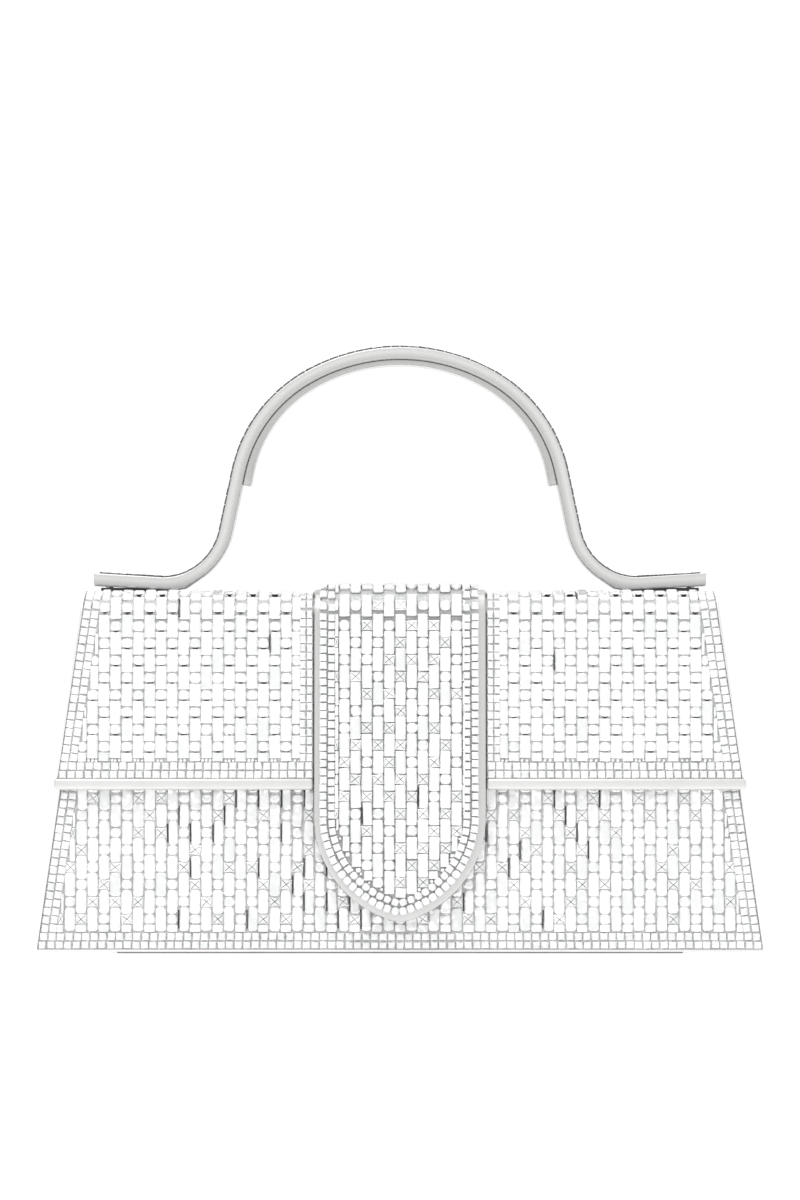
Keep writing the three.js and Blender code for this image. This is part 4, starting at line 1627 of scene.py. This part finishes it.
# ------------------------------------------------------------------ the flap
@dataclass
class FlapCloth:
    """The crystal cloth of the flap, from its front edge over the fold and across the top."""

    bottom: float = 50.4
    tab_clear: float = 25.1
    trim: float = 0.12  # how far the stones keep from the flap's side edge
    mesh_base: float = 0.25
    mesh: float = 0.85
    seat: float = 0.3
    top_past: float = 0.5
    rear_gap: float = 0.1
    rear_past: float = 1.8
    rear_trim: float = 1.6
    screw_x: Point = (75.5, 85.5)
    screw_clear: float = 1.95
    tab_pitch: float = 2.0  # the columns beside the tab are narrower than they are tall
    flap_field: Pattern = Pattern(phase=9.78, crowd=1.065, slits=0.02, crescents=0.8)
    rear_rows: Border = Border(rows=3)

    def build(self) -> None:
        """Builds both sides of the flap, and the cloth over the rear fold."""
        for side, sign in SIDES:
            self.panel(side, sign)
            self.rear(side, sign)

    def panel(self, side: str, sign: int) -> None:
        """Covers one side of the flap.

        Args:
            side: Its name.
            sign: 1 for the right, -1 for the left.
        """
        low, high = OUTLINE.up(self.bottom), TOP_END + self.top_past * MM
        tab, trim = self.tab_clear * MM, self.trim * MM
        # The sheet is cut one metre wide, and drawn in to the flap's own width as it is laid.
        corners = mirrored(rectangle(0, 1, low, high), sign)
        mesh = Sheet("flap_mesh_" + side, corners, self.mesh, self.mesh_base, step=ARC_STEP)
        item = mesh.on(
            CLOTH, lambda u, s: sign * tab + u * (OUTLINE.flap_edge(s) - trim - tab)
        )
        nodes = ["flap_crystal_sheet_" + side, "top_crystal_sheet_" + side]
        fit(item, FRONT_FOLD, [MESH_BACK], nodes)
        seats = self.border_seats(sign, low, high)
        seats += self.flap_field.field(self.field_region(sign, low, high))
        lift = self.mesh_base + self.seat
        set_stones("flap_stones_" + side, CLOTH, seats, lift, FRONT_FOLD)

    def border_seats(self, sign: int, low: float, high: float) -> list[Seat]:
        """Lays rows of squares along the flap's front edge, its side edge and the tab.

        Args:
            sign: 1 for the right, -1 for the left.
            low: The s of the front edge.
            high: The s of the rear end.

        Returns:
            The seats.
        """
        seats, tab, trim = [], self.tab_clear * MM, self.trim * MM
        turns = (low + BORDER.width, FOLD_END, high)
        for row, inset in enumerate(BORDER.insets):
            s = low + inset
            front = [(tab, s), (float(OUTLINE.flap_edge(s)) - trim, s)]
            edge = [(float(OUTLINE.flap_edge(mark)) - trim - inset, mark) for mark in turns]
            for line in (front, edge):
                seats += row_along([(sign * u, v) for u, v in line], BORDER.pitch)
            u = sign * (tab + (row + 0.5) * self.tab_pitch * MM)
            column = row_along(((u, turns[0]), (u, high)), BORDER.pitch)
            seats += [replace(seat, long=self.tab_pitch / BORDER.pitch) for seat in column]
        return seats

    def field_region(self, sign: int, low: float, high: float) -> Region:
        """Measures the patch inside the rows, with room round the handle's screws.

        Args:
            sign: 1 for the right, -1 for the left.
            low: The s of the front edge.
            high: The s of the rear end.

        Returns:
            The patch.
        """
        tab, trim, wide = self.tab_clear * MM, self.trim * MM, BORDER.width
        middle = FOLD_END + OUTLINE.folds[0]
        screws = [hole((sign * x * MM, middle), self.screw_clear * MM) for x in self.screw_x]
        limits = (
            lambda u, s: sign * u - tab - BORDER.rows * self.tab_pitch * MM,
            lambda u, s: OUTLINE.flap_edge(s) - trim - wide - sign * u,
            lambda u, s: s - low - wide,
            lambda u, s: high - s,
            *screws,
        )
        ends = sorted((sign * tab, sign * OUTLINE.flap_half[0] * MM))
        return Region(limits, (ends[0], low + wide), (ends[1], high))

    def rear(self, side: str, sign: int) -> None:
        """Covers the rear fold on one side, with rows of squares across it.

        Args:
            side: Its name.
            sign: 1 for the right, -1 for the left.
        """
        low = TOP_END + (self.top_past + self.rear_gap) * MM
        high = REAR_END + self.rear_past * MM
        edge, tab = (OUTLINE.flap_half[1] - self.rear_trim) * MM, self.tab_clear * MM
        corners = mirrored(rectangle(tab, edge, low, high), sign)
        mesh = Sheet("rear_mesh_" + side, corners, self.mesh, self.mesh_base, step=ARC_STEP)
        fit(mesh.on(CLOTH), REAR_FOLD, [MESH_BACK])
        seats = self.rear_rows.bands(*sorted((sign * tab, sign * edge)), low, high)
        lift = self.mesh_base + self.seat
        name = "rear_stones_" + side
        set_stones(name, CLOTH, seats, lift, REAR_FOLD, metals=[CUP_METAL])


@dataclass
class FlapTrims:
    """The flap's leather edges, its fold straps and its satin lining. Millimetres."""

    tab_clear: float = 25.1
    binding_height: float = 2.5
    binding_drop: float = 0.75
    binding_past: float = 0.9
    binding: tuple[float, float, float] = (3.75, -1.6, 0.75)  # thickness, base and rounding
    wrap_ends: Point = (-0.1, 0.5)  # how far a side wrap reaches in and out of the edge
    wrap: tuple[float, float, float] = (3.5, -1.5, 0.22)
    strap_half: float = 89.2
    lining_half: Point = (97.4, 90.1)
    lining_low: float = 49.0
    fold_step: float = 0.6

    def build(self) -> None:
        """Builds the bindings, the side wraps, the fold straps and the linings."""
        self.bottom_binding()
        self.side_wraps()
        self.bands()

    def bottom_binding(self) -> None:
        """A rounded strip along the flap's front edge, each side of the tab."""
        low = OUTLINE.up(OUTLINE.flap_bottom - self.binding_drop)
        high = OUTLINE.up(OUTLINE.flap_bottom + self.binding_height)
        past, tab = self.binding_past * MM, self.tab_clear * MM
        edges = OUTLINE.flap_edge(low) + past, OUTLINE.flap_edge(high) + past
        strip = [(tab, low), (edges[0], low), (edges[1], high), (tab, high)]
        for side, sign in SIDES:
            corners = mirrored(strip, sign)
            sheet = Sheet("flap_binding_" + side, corners, *self.binding, segments=4)
            nodes = ["flap_edge_binding_" + side]
            fit(sheet.on(CLOTH), "flap_front", [BINDING_LEATHER], nodes)

    def side_wraps(self) -> None:
        """Thin leather that wraps the flap's side edges, over the fold to the rear."""
        low = OUTLINE.up(OUTLINE.flap_bottom) + self.binding_height * MM
        high = TOP_END + 0.5 * MM
        for side, sign in SIDES:
            us = sorted(end * MM * sign for end in self.wrap_ends)
            corners = rectangle(*us, low, high)
            sheet = Sheet("flap_side_wrap_" + side, corners, *self.wrap, step=ARC_STEP)
            item = sheet.on(CLOTH, lambda u, s, sign=sign: u + sign * OUTLINE.flap_edge(s))
            fit(item, FRONT_FOLD, [LEATHER])

    def bands(self) -> None:
        """The cloth hinges under the stones in two folds, and the satin under the flap."""
        half, step = self.strap_half * MM, self.fold_step

        def band(low: float, high: float) -> list[Point]:
            """Lists the corners of a band between two places, in mm past the marks."""
            return rectangle(-half, half, low, high)

        front = band(FOLD_START + 0.1 * MM, FOLD_END - 0.05 * MM)
        rear = band(TOP_END + 0.1 * MM, REAR_END + 1.55 * MM)
        low, high = OUTLINE.up(self.lining_low), FOLD_START - 0.3 * MM
        wide, narrow = (x * MM for x in self.lining_half)
        flap = [(-wide, low), (wide, low), (narrow, high), (-narrow, high)]
        top = band(FOLD_END + 0.2 * MM, TOP_END - 0.5 * MM)
        fold = band(FOLD_START - 0.25 * MM, FOLD_END + 0.15 * MM)
        front_nodes, rear_nodes = (
            [f"{end}_fold_{part}" for part in ("lower", "upper")] for end in ("front", "rear")
        )
        front_strap = Sheet("front_fold_strap", front, 0.9, -0.9, step=step)
        rear_strap = Sheet("rear_fold_strap", rear, 0.2, 0.02, step=step)
        flap_satin = Sheet("flap_lining_cloth", flap, 0.5, -2.35, 0.2)
        top_satin = Sheet("top_lining_cloth", top, 0.5, -3.74, 0.2)
        fold_satin = Sheet("fold_lining_cloth", fold, 0.35, -1.5, step=step)
        for sheet, place, finish, nodes in (
            (front_strap, FRONT_FOLD, LEATHER, front_nodes),
            (rear_strap, REAR_FOLD, LEATHER, rear_nodes),
            (flap_satin, "flap_front", SATIN, ["flap_lining"]),
            (top_satin, "flap_top", SATIN, ["top_lining"]),
            (fold_satin, FRONT_FOLD, SATIN, []),
        ):
            fit(sheet.on(CLOTH), place, [finish], nodes)


@dataclass
class CentreTab:
    """The pointed tab down the middle of the flap, with its own pattern of stones."""

    half_width: float = 24.8
    tip: float = 9.0
    curve_start: float = 39.7
    leather_base: float = 0.26
    leather: float = 2.2
    leather_round: float = 0.9
    margin: float = 1.7
    mesh_margin: float = 2.2
    mesh: float = 0.6
    glue: float = 0.02
    border: Border = Border(pitch=2.38)
    field_gap: float = 0.1
    field_slip: float = 0.15
    ring_slip: float = -0.25
    round_below: float = 24.0  # height under which the ring's stones are round
    round_gap: float = 0.06
    spaced: float = 0.94  # the ring's stones stand a little apart
    top_past: float = 0.5
    rear_gap: float = 0.1
    rear_past: float = 1.8
    rear_round: float = 0.3
    lining: tuple[float, float, float] = (0.5, -0.55, 0.15)  # thickness, base and rounding
    lining_margin: float = 1.0
    lining_top: float = 48.3
    tab_field: Pattern = Pattern(
        column=3.24,
        cell=9.9,
        phase=0.75,
        crossed=0.55,
        filler_size=2.5,
        tuck=0.6,
        slits=0.012,
    )

    @property
    def radius(self) -> float:
        """The radius of the two curves that meet in the point."""
        rise = self.curve_start - self.tip
        return (self.half_width**2 + rise**2) / (2 * self.half_width)

    def half_outline(self, margin: float, high: float, steps: int = 18) -> list[Point]:
        """Draws the right half of the outline, from the point up.

        Args:
            margin: How far inside the tab's edge it runs, in millimetres.
            high: The s where it ends, in metres.
            steps: The steps in its curve.

        Returns:
            Points in metres.
        """
        radius = (self.radius - margin) * MM
        u, s = (self.half_width - self.radius) * MM, OUTLINE.up(self.curve_start)
        point = -math.acos(-u / radius)
        angles = [point * (1 - i / steps) for i in range(steps + 1)]
        curve = [(u + radius * math.cos(a), s + radius * math.sin(a)) for a in angles]
        return [*curve, ((self.half_width - margin) * MM, high)]

    def outline(self, margin: float, high: float) -> list[Point]:
        """Draws the whole outline, anticlockwise from the point."""
        right = self.half_outline(margin, high)
        return right + [(-u, s) for u, s in reversed(right[1:])]

    def region(self, margin: float, high: float) -> Region:
        """Measures the patch inside the outline.

        Args:
            margin: How far inside the tab's edge it starts, in millimetres.
            high: The s where it ends, in metres.

        Returns:
            The patch.
        """
        inner = (self.half_width - margin) * MM
        reach = (self.radius - margin) * MM
        side = (self.half_width - self.radius) * MM
        start = OUTLINE.up(self.curve_start)

        def curved(u: np.ndarray, s: np.ndarray) -> np.ndarray:
            """Measures from the curves under the start, and from the sides over it."""
            away = reach - np.hypot(np.abs(u) - side, s - start)
            return np.where(s < start, away, inner - np.abs(u))

        limits = (lambda u, s: inner - np.abs(u), lambda u, s: high - s, curved)
        return Region(limits, (-inner, OUTLINE.up(self.tip)), (inner, high))

    def build(self) -> None:
        """Builds the leather, the mesh and the stones, then the rear part and the lining."""
        high = TOP_END + self.top_past * MM
        leather = Sheet(
            "tab_leather",
            self.outline(0.0, high),
            self.leather,
            self.leather_base,
            self.leather_round,
            segments=4,
            step=ARC_STEP,
        )
        nodes = ["tab_backing", "tab_top_strap"]
        fit(leather.on(CLOTH), FRONT_FOLD, [TAB_LEATHER], nodes)
        face = self.leather_base + self.leather
        outline = self.outline(self.mesh_margin, high)
        depth, base = self.mesh - self.glue, face + self.glue
        mesh = Sheet("tab_mesh", outline, depth, base, step=ARC_STEP)
        fit(mesh.on(CLOTH), FRONT_FOLD, [MESH_BACK], ["tab_border_crystals"])
        seats = []
        for inset in self.border.insets:
            seats += self.ring(self.margin + inset / MM, high)
        inner = self.margin + self.border.width / MM + self.field_gap
        seats += self.tab_field.field(self.region(inner, high), self.field_slip * MM)
        nodes = ["tab_field_crystals", "tab_top_crystals"]
        set_stones("tab_stones", CLOTH, seats, face + self.mesh, FRONT_FOLD, nodes)
        self.rear()
        outline = self.outline(self.lining_margin, OUTLINE.up(self.lining_top))
        satin = Sheet("tab_lining_cloth", outline, *self.lining)
        fit(satin.on(CLOTH), "flap_front", [SATIN], ["tab_lining"])

    def ring(self, margin: float, high: float) -> list[Seat]:
        """Lays squares along the tab's outline, and round stones along its tight curves.

        Args:
            margin: How far inside the tab's edge their centres run, in millimetres.
            high: The s where they end, in metres.

        Returns:
            The seats.
        """
        right = self.half_outline(margin, high, steps=60)
        plan, size = STONES[Cut.ROUND], self.border.pitch - self.round_gap
        seats = []
        for sign in (1, -1):
            line = [(sign * u + self.ring_slip * MM, s) for u, s in right]
            for seat in row_along(line, self.border.pitch):
                look = {"wide": self.spaced, "long": self.spaced}
                if seat.s < OUTLINE.up(self.round_below):
                    wide, long = size / plan.width, size / plan.length
                    look = {"cut": Cut.ROUND, "wide": wide, "long": long}
                seats.append(replace(seat, **look))
        return seats

    def rear(self) -> None:
        """The tab's leather and stones over the rear fold."""
        low = TOP_END + (self.top_past + self.rear_gap) * MM
        high = REAR_END + self.rear_past * MM
        half, edge = self.half_width * MM, (self.half_width - self.margin) * MM
        corners = rectangle(-half, half, low, high)
        depths = self.leather, self.leather_base, self.rear_round
        leather = Sheet("tab_rear_leather", corners, *depths, step=ARC_STEP)
        fit(leather.on(CLOTH), REAR_FOLD, [TAB_LEATHER])
        seats = replace(self.border, rows=3).bands(-edge, edge, low, high)
        lift = self.leather_base + self.leather
        set_stones("tab_rear_stones", CLOTH, seats, lift, REAR_FOLD, metals=[CUP_METAL])


# ------------------------------------------------------------------ the handle
@dataclass(frozen=True)
class FlaredLine(Drape):
    """A handle's outer face, whose feet rise and thin towards their ends. Metres."""

    thickness: float
    run: float
    rise: float
    thinning: float
    thin_from: float = 20.5 * MM
    thin_over: float = 3 * MM
    curve: float = 1.6
    sole_share: float = 0.3  # how much of the rise the underside has

    def point(self, u: float, s: float, w: float = 0.0) -> Vector:
        """Finds a point, lifted near the ends, and more at the top of the foot.

        Args:
            u: Its place across.
            s: Its place along.
            w: How far out it is.

        Returns:
            The point.
        """
        from_end = min(s, self.route.length - s)
        under_share = min(1.0, max(0.0, -w / self.thickness))
        thinned = min(1.0, max(0.0, (self.thin_from - from_end) / self.thin_over))
        w += self.thinning * under_share * thinned
        share = max(0.0, 1.0 - from_end / self.run) ** self.curve
        height = max(0.0, (w + self.thickness) / self.thickness)
        height = self.sole_share + (1 - self.sole_share) * height
        return Drape.point(self, u, s, w + self.rise * share * height)


def mark_height(item: bpy.types.Object, low: float, high: float) -> None:
    """Stores how high each point of a flat mesh is, for the finish's painted rim shading to read.

    Args:
        item: The mesh.
        low: The height in metres that counts as 0.
        high: The height that counts as 1.
    """
    share = [(v.co.z - low) / (high - low) for v in item.data.vertices]
    rim = item.data.attributes.new("rim_height", "FLOAT", "POINT")
    rim.data.foreach_set("value", [min(1.0, max(0.0, s)) for s in share])


@dataclass
class ArchHandle:
    """A steel-cored arch wrapped in leather, with a strip of stones along its outer face."""

    end: float = 89.7
    foot_top: float = 108.9
    foot_run: float = 19.865
    foot_radius: float = 17.5
    leg: float = 17.892
    leg_lean: float = 12.0
    shoulder_radius: float = 43.6
    crown_radius: float = 56.3
    crown_angle: float = 30.0
    width: float = 16.0
    thickness: float = 3.6
    wall: float = 1.1
    floor: float = 0.9
    under_round: float = 0.5
    rim_round: float = 0.42
    ribs: tuple[float, ...] = (0.2, 0.38, 0.62, 0.85)  # shares of its height
    bend_step: float = 1.9
    foot_rise: float = 1.4
    foot_rise_run: float = 26.0
    foot_thinning: float = 0.55
    pad_x: Point = (66.5, 87.6)
    pad_z: Point = (104.6, 105.95)
    pad_inset: float = 0.5
    pad_round: float = 0.2
    crease: float = 57.0  # degrees
    crease_depth: float = 0.2
    grip_thickness: float = 2.45
    grip_width: float = 14.4
    grip_gap: float = 0.03
    grip_round: float = 0.45
    grip_shade: float = 2.4  # depths of it over which its painted shade brightens
    crown_thinning: float = 0.36
    grip_leg: float = 3.4
    columns: int = 5
    stone_pitch: float = 2.62
    stone_gap: float = 0.35
    side_gap: float = 0.25
    stone_lift: float = -0.85

    @property
    def line(self) -> Drape:
        """The handle's outer face, from the end of one foot to the other."""
        rise = 90 - self.leg_lean
        shoulder = rise - self.crown_angle
        route = Route((-self.end * MM, self.foot_top * MM), 0.0).ahead(self.foot_run * MM)
        route.turn(self.foot_radius * MM, rise).ahead(self.leg * MM)
        route.turn(self.shoulder_radius * MM, -shoulder)
        route.turn(self.crown_radius * MM, -2 * self.crown_angle)
        route.turn(self.shoulder_radius * MM, -shoulder).ahead(self.leg * MM)
        route.turn(self.foot_radius * MM, rise).ahead(self.foot_run * MM)
        sizes = (self.thickness, self.foot_rise_run, self.foot_rise, self.foot_thinning)
        return FlaredLine(route, X, *(size * MM for size in sizes))

    def build(self) -> None:
        """Builds the wrap, the grip strip, the stones and the dark pads under the feet that paint
        their shadow.
        """
        line = self.line
        self.wrap(line)
        self.grip(line)
        self.stones(line)
        self.foot_shadow_pads()

    def foot_shadow_pads(self) -> None:
        """A near-black pad between each foot and the stones that it is screwed down on, painted
        shadow under the foot.
        """
        low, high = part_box("handle_wrap")
        ends = (low.y + self.pad_inset * MM, high.y - self.pad_inset * MM)
        for side, sign in SIDES:
            xs = sorted(sign * x * MM for x in self.pad_x)
            corners = [Vector((xs[i], ends[i], self.pad_z[i] * MM)) for i in (0, 1)]
            item = block("foot_shadow_pad_" + side, *corners)
            modified(item, "BEVEL", width=self.pad_round * MM, segments=2)
            fit(item, "flap_top", [FOOT_SHADOW_CLOTH])

    def wrap(self, line: Drape) -> None:
        """Makes the leather channel: a bar with a sunk pocket, bent along the handle's line.

        Args:
            line: The handle's outer face.
        """
        length, half = line.route.length, self.width / 2 * MM
        corners = rectangle(-half, half, 0, length)
        item = Sheet("handle_leather", corners, self.thickness, -self.thickness).cut()
        with editing(item, under):
            bpy.ops.mesh.bevel(offset=self.under_round * MM, segments=4, affect="EDGES")
        with editing(item, everything):
            slice_at([(share - 1) * self.thickness * MM for share in self.ribs], Z)
        with editing(item, upper):
            bpy.ops.mesh.inset(thickness=self.wall * MM)
            drop = (0, 0, (self.floor - self.thickness) * MM)
            bpy.ops.mesh.extrude_region_move(TRANSFORM_OT_translate={"value": drop})
        soften(item, self.rim_round, 4)
        with editing(item, everything):
            slice_at(line.route.stations(0.0, length, self.bend_step * MM)[1:-1], Y)
        # The ramp paints shade low on the wrap and in its pocket, and a highlight near its outer
        # rim.
        mark_height(item, -self.thickness * MM, 0.0)
        self.crease_foot(item, length)
        fit(laid(item, line), "flap_top", [HANDLE_LEATHER], ["handle_wrap"])

    def crease_foot(self, item: bpy.types.Object, length: float) -> None:
        """Thickens the underside where the leg meets the foot, so that it meets in a crease.

        Args:
            item: The flat bar.
            length: The handle's length, in metres.
        """
        outer, open_angle = self.foot_radius + self.thickness, 90 - self.crease
        for vertex in item.data.vertices:
            _, s, w = vertex.co
            if w > -(self.thickness - self.floor + self.crease_depth) * MM:
                continue
            from_end = min(s, length - s) - self.foot_run * MM
            angle = math.degrees(from_end / (self.foot_radius * MM))
            if 0 < angle < open_angle:
                nearer = max(math.radians(open_angle - angle), math.radians(angle))
                least = min(math.radians(open_angle - angle), math.radians(angle))
                reach = outer / max(math.cos(nearer), math.cos(least))
                vertex.co.z = w - (reach - outer) * MM
        item.data.update()

    def grip(self, line: Drape) -> None:
        """Makes the leather strip under the arch, which thins towards the crown.

        Args:
            line: The handle's outer face.
        """
        rise = math.radians(90 - self.leg_lean)
        low = (self.foot_run + self.foot_radius * rise + self.leg - self.grip_leg) * MM
        high, half = line.route.length - low, self.grip_width / 2 * MM
        top, depth = -(self.thickness + self.grip_gap), self.grip_thickness
        corners = rectangle(-half, half, low, high)
        sheet = Sheet("handle_pad", corners, depth, top - depth, self.grip_round, segments=4)
        item = sheet.cut(line.route.stations(low, high, self.bend_step * MM))
        # The grip gets only the ramp's dark end: painted shade under the arch.
        mark_height(item, (top - depth) * MM, (top + self.grip_shade * depth) * MM)
        for vertex in item.data.vertices:
            from_middle = abs(vertex.co.y - (low + high) / 2) / ((high - low) / 2)
            thinned = 1.0 - self.crown_thinning * (1.0 - from_middle**2)
            vertex.co.z = top * MM + (vertex.co.z - top * MM) * thinned
        fit(laid(item, line), "flap_top", [HANDLE_LEATHER], ["handle_grip"])

    def stones(self, line: Drape) -> None:
        """Sets square stones in columns, sunk in the pocket.

        Args:
            line: The handle's outer face.
        """
        inset = (self.wall + self.stone_gap) * MM
        run = line.route.length - 2 * inset
        count = round(run / (self.stone_pitch * MM))
        across = (self.width - 2 * self.wall - 2 * self.side_gap) / self.columns * MM
        seats = [
            Seat(
                Cut.CHANNEL,
                (column - (self.columns - 1) / 2) * across,
                inset + run * (i + 0.5) / count,
            )
            for i in range(count)
            for column in range(self.columns)
        ]
        nodes, metals = ["handle_crystal_strip"], [CHANNEL_METAL]
        set_stones("handle_stones", line, seats, self.stone_lift, "flap_top", nodes, metals)


# ------------------------------------------------------------------ inside
@dataclass
class Interior:
    """The satin lining tub and its slip pocket. Millimetres."""

    inset: float = 5.5
    low: float = 2.25
    high: float = 97.1
    cloth: float = 0.6
    corner: float = 5.0
    pocket_half: float = 55.0
    pocket_ends: Point = (26.0, 76.0)
    pocket_cloth: float = 0.5
    pocket_gap: float = 0.12
    hem: float = 5.0
    hem_gap: float = 0.02
    rounding: float = 0.2

    def build(self) -> None:
        """Builds the tub and the pocket."""
        self.tub()
        self.pocket()

    def tub(self) -> None:
        """A satin tub with rounded corners that leans with the walls."""
        side, depth = math.tan(OUTLINE.side_lean), math.tan(OUTLINE.lean)
        base, mouth = (
            Vector(
                (
                    OUTLINE.base_half_width - z * side - self.inset,
                    OUTLINE.base_half_depth - z * depth - self.inset,
                    z,
                )
            )
            * MM
            for z in (self.low, self.high)
        )
        low, high = Vector((-base.x, -base.y, base.z)), Vector((base.x, base.y, mouth.z))
        item = block("lining_tub", low, high)
        shrink = (mouth.x / base.x, mouth.y / base.y, 1)
        with editing(item, upper):
            bpy.ops.transform.resize(value=shrink, center_override=(0, 0, mouth.z))
            bpy.ops.mesh.delete(type="FACE")
        soften(item, self.corner, 5)
        modified(item, "SOLIDIFY", thickness=self.cloth * MM, offset=-1.0, use_even_offset=True)
        fit(item, "body", [SATIN], ["lining"])

    def pocket(self) -> None:
        """A slip pocket on the back, its mouth bound in leather."""
        half, cloth = self.pocket_half * MM, self.pocket_cloth
        low, high = (OUTLINE.up(z) for z in self.pocket_ends)
        base = -(self.inset + self.cloth + self.pocket_gap) - cloth
        for name, start, out, finish in (
            ("slip_pocket", low, base, SATIN),
            ("pocket_binding", high - self.hem * MM, base - cloth - self.hem_gap, LEATHER),
        ):
            sheet = Sheet(name, rectangle(-half, half, start, high), cloth, out, self.rounding)
            fit(sheet.on(BACK_WALL), "body", [finish])


@dataclass(frozen=True)
class Hardware:
    """The CAD nodes that keep their own shapes: boards, snap, plates, screws and core."""

    board_words: tuple[str, ...] = ("board", "panel", "gusset_left", "gusset_right")

    def dress(self) -> None:
        """Gives every node that still shows a finish for what it is."""
        for name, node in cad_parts.items():
            if node.hide_render:
                continue
            finish = BOARD if any(word in name for word in self.board_words) else NICKEL
            for holder in node.material_slots:
                holder.material = finish.material()
            LOG.info("%s keeps its shape, in %s", name, finish.name)


# ------------------------------------------------------------------ the studio
@dataclass(frozen=True)
class SoftBox:
    """A square soft box that looks at the purse. Metres and watts."""

    name: str
    place: tuple[float, float, float]
    size: float
    power: float
    aim: float = 0.08

    def build(self) -> None:
        """Hangs the lamp."""
        place = Vector(self.place)
        light = bpy.data.lights.new(self.name, "AREA")
        light.size = self.size
        light.energy = self.power
        lamp = bpy.data.objects.new(self.name, light)
        lamp.location = place
        look = Vector((0, 0, self.aim)) - place
        lamp.rotation_euler = look.to_track_quat("-Z", "Y").to_euler()
        bpy.context.scene.collection.objects.link(lamp)


@dataclass(frozen=True)
class Studio:
    """A lit table, a white room and two soft boxes. Metres and millimetres of lens."""

    camera_height: float = 0.10235
    camera_distance: float = 1.53
    lens: float = 155.9
    sensor: float = 36.0
    nearest: float = 0.05
    table: float = 12.0
    sky: float = 1.06
    side_grey: float = 0.88
    grey_from: float = 0.35  # how far sideways the walls start to fall away
    lamps: tuple[SoftBox, ...] = (
        SoftBox("key", (-0.5, -1.1, 1.7), 1.2, 12.0),
        SoftBox("top", (0.3, 0.3, 1.9), 1.4, 7.0),
    )

    def build(self) -> None:
        """Builds the floor, the light and the camera."""
        scene = bpy.context.scene
        scene.view_settings.view_transform = "Standard"
        self.floor()
        self.world(scene)
        for lamp in self.lamps:
            lamp.build()
        lens = bpy.data.cameras.new("camera")
        lens.lens = self.lens
        lens.sensor_width = self.sensor
        lens.clip_start = self.nearest
        camera = bpy.data.objects.new("camera", lens)
        camera.location = (0, -self.camera_distance, self.camera_height)
        camera.rotation_euler = (math.pi / 2, 0, 0)
        scene.collection.objects.link(camera)
        scene.camera = camera

    def floor(self) -> None:
        """A wide lit table."""
        deselect()
        bpy.ops.mesh.primitive_grid_add(x_subdivisions=8, y_subdivisions=8, size=self.table)
        table = bpy.context.object
        table.name = "studio_table"
        dress(table, TABLE)

    def world(self, scene: bpy.types.Scene) -> None:
        """Makes a white room whose side walls fall away to grey, so that facets have an edge.

        Args:
            scene: The scene that gets it.
        """
        room = bpy.data.worlds.new("white_room")
        room.use_nodes = True
        tree = room.node_tree
        tree.nodes.clear()
        place = add_node(tree, "ShaderNodeTexCoord").outputs["Generated"]
        split = add_node(tree, "ShaderNodeSeparateXYZ", {0: place})
        size = add_node(tree, "ShaderNodeMath", {0: split.outputs[0]}, operation="ABSOLUTE")
        light = add_node(
            tree,
            "ShaderNodeMapRange",
            {0: size.outputs[0], 1: self.grey_from, 2: 1.0, 3: self.sky, 4: self.side_grey},
            interpolation_type="SMOOTHSTEP",
        )
        white = {0: (1, 1, 1, 1), 1: light.outputs[0]}
        back = add_node(tree, "ShaderNodeBackground", white)
        add_node(tree, "ShaderNodeOutputWorld", {0: back.outputs[0]})
        scene.world = room


def main() -> None:
    """Builds the purse round its frame, and the studio round the purse."""
    logging.basicConfig(level=logging.INFO, format="%(name)s: %(message)s")
    for part in (
        Studio(), BodyWalls(), BodyTrims(), FlapCloth(), FlapTrims(),
        CentreTab(), ArchHandle(), Interior(),
    ):
        part.build()
    Hardware().dress()


if __name__ == "__main__":
    main()
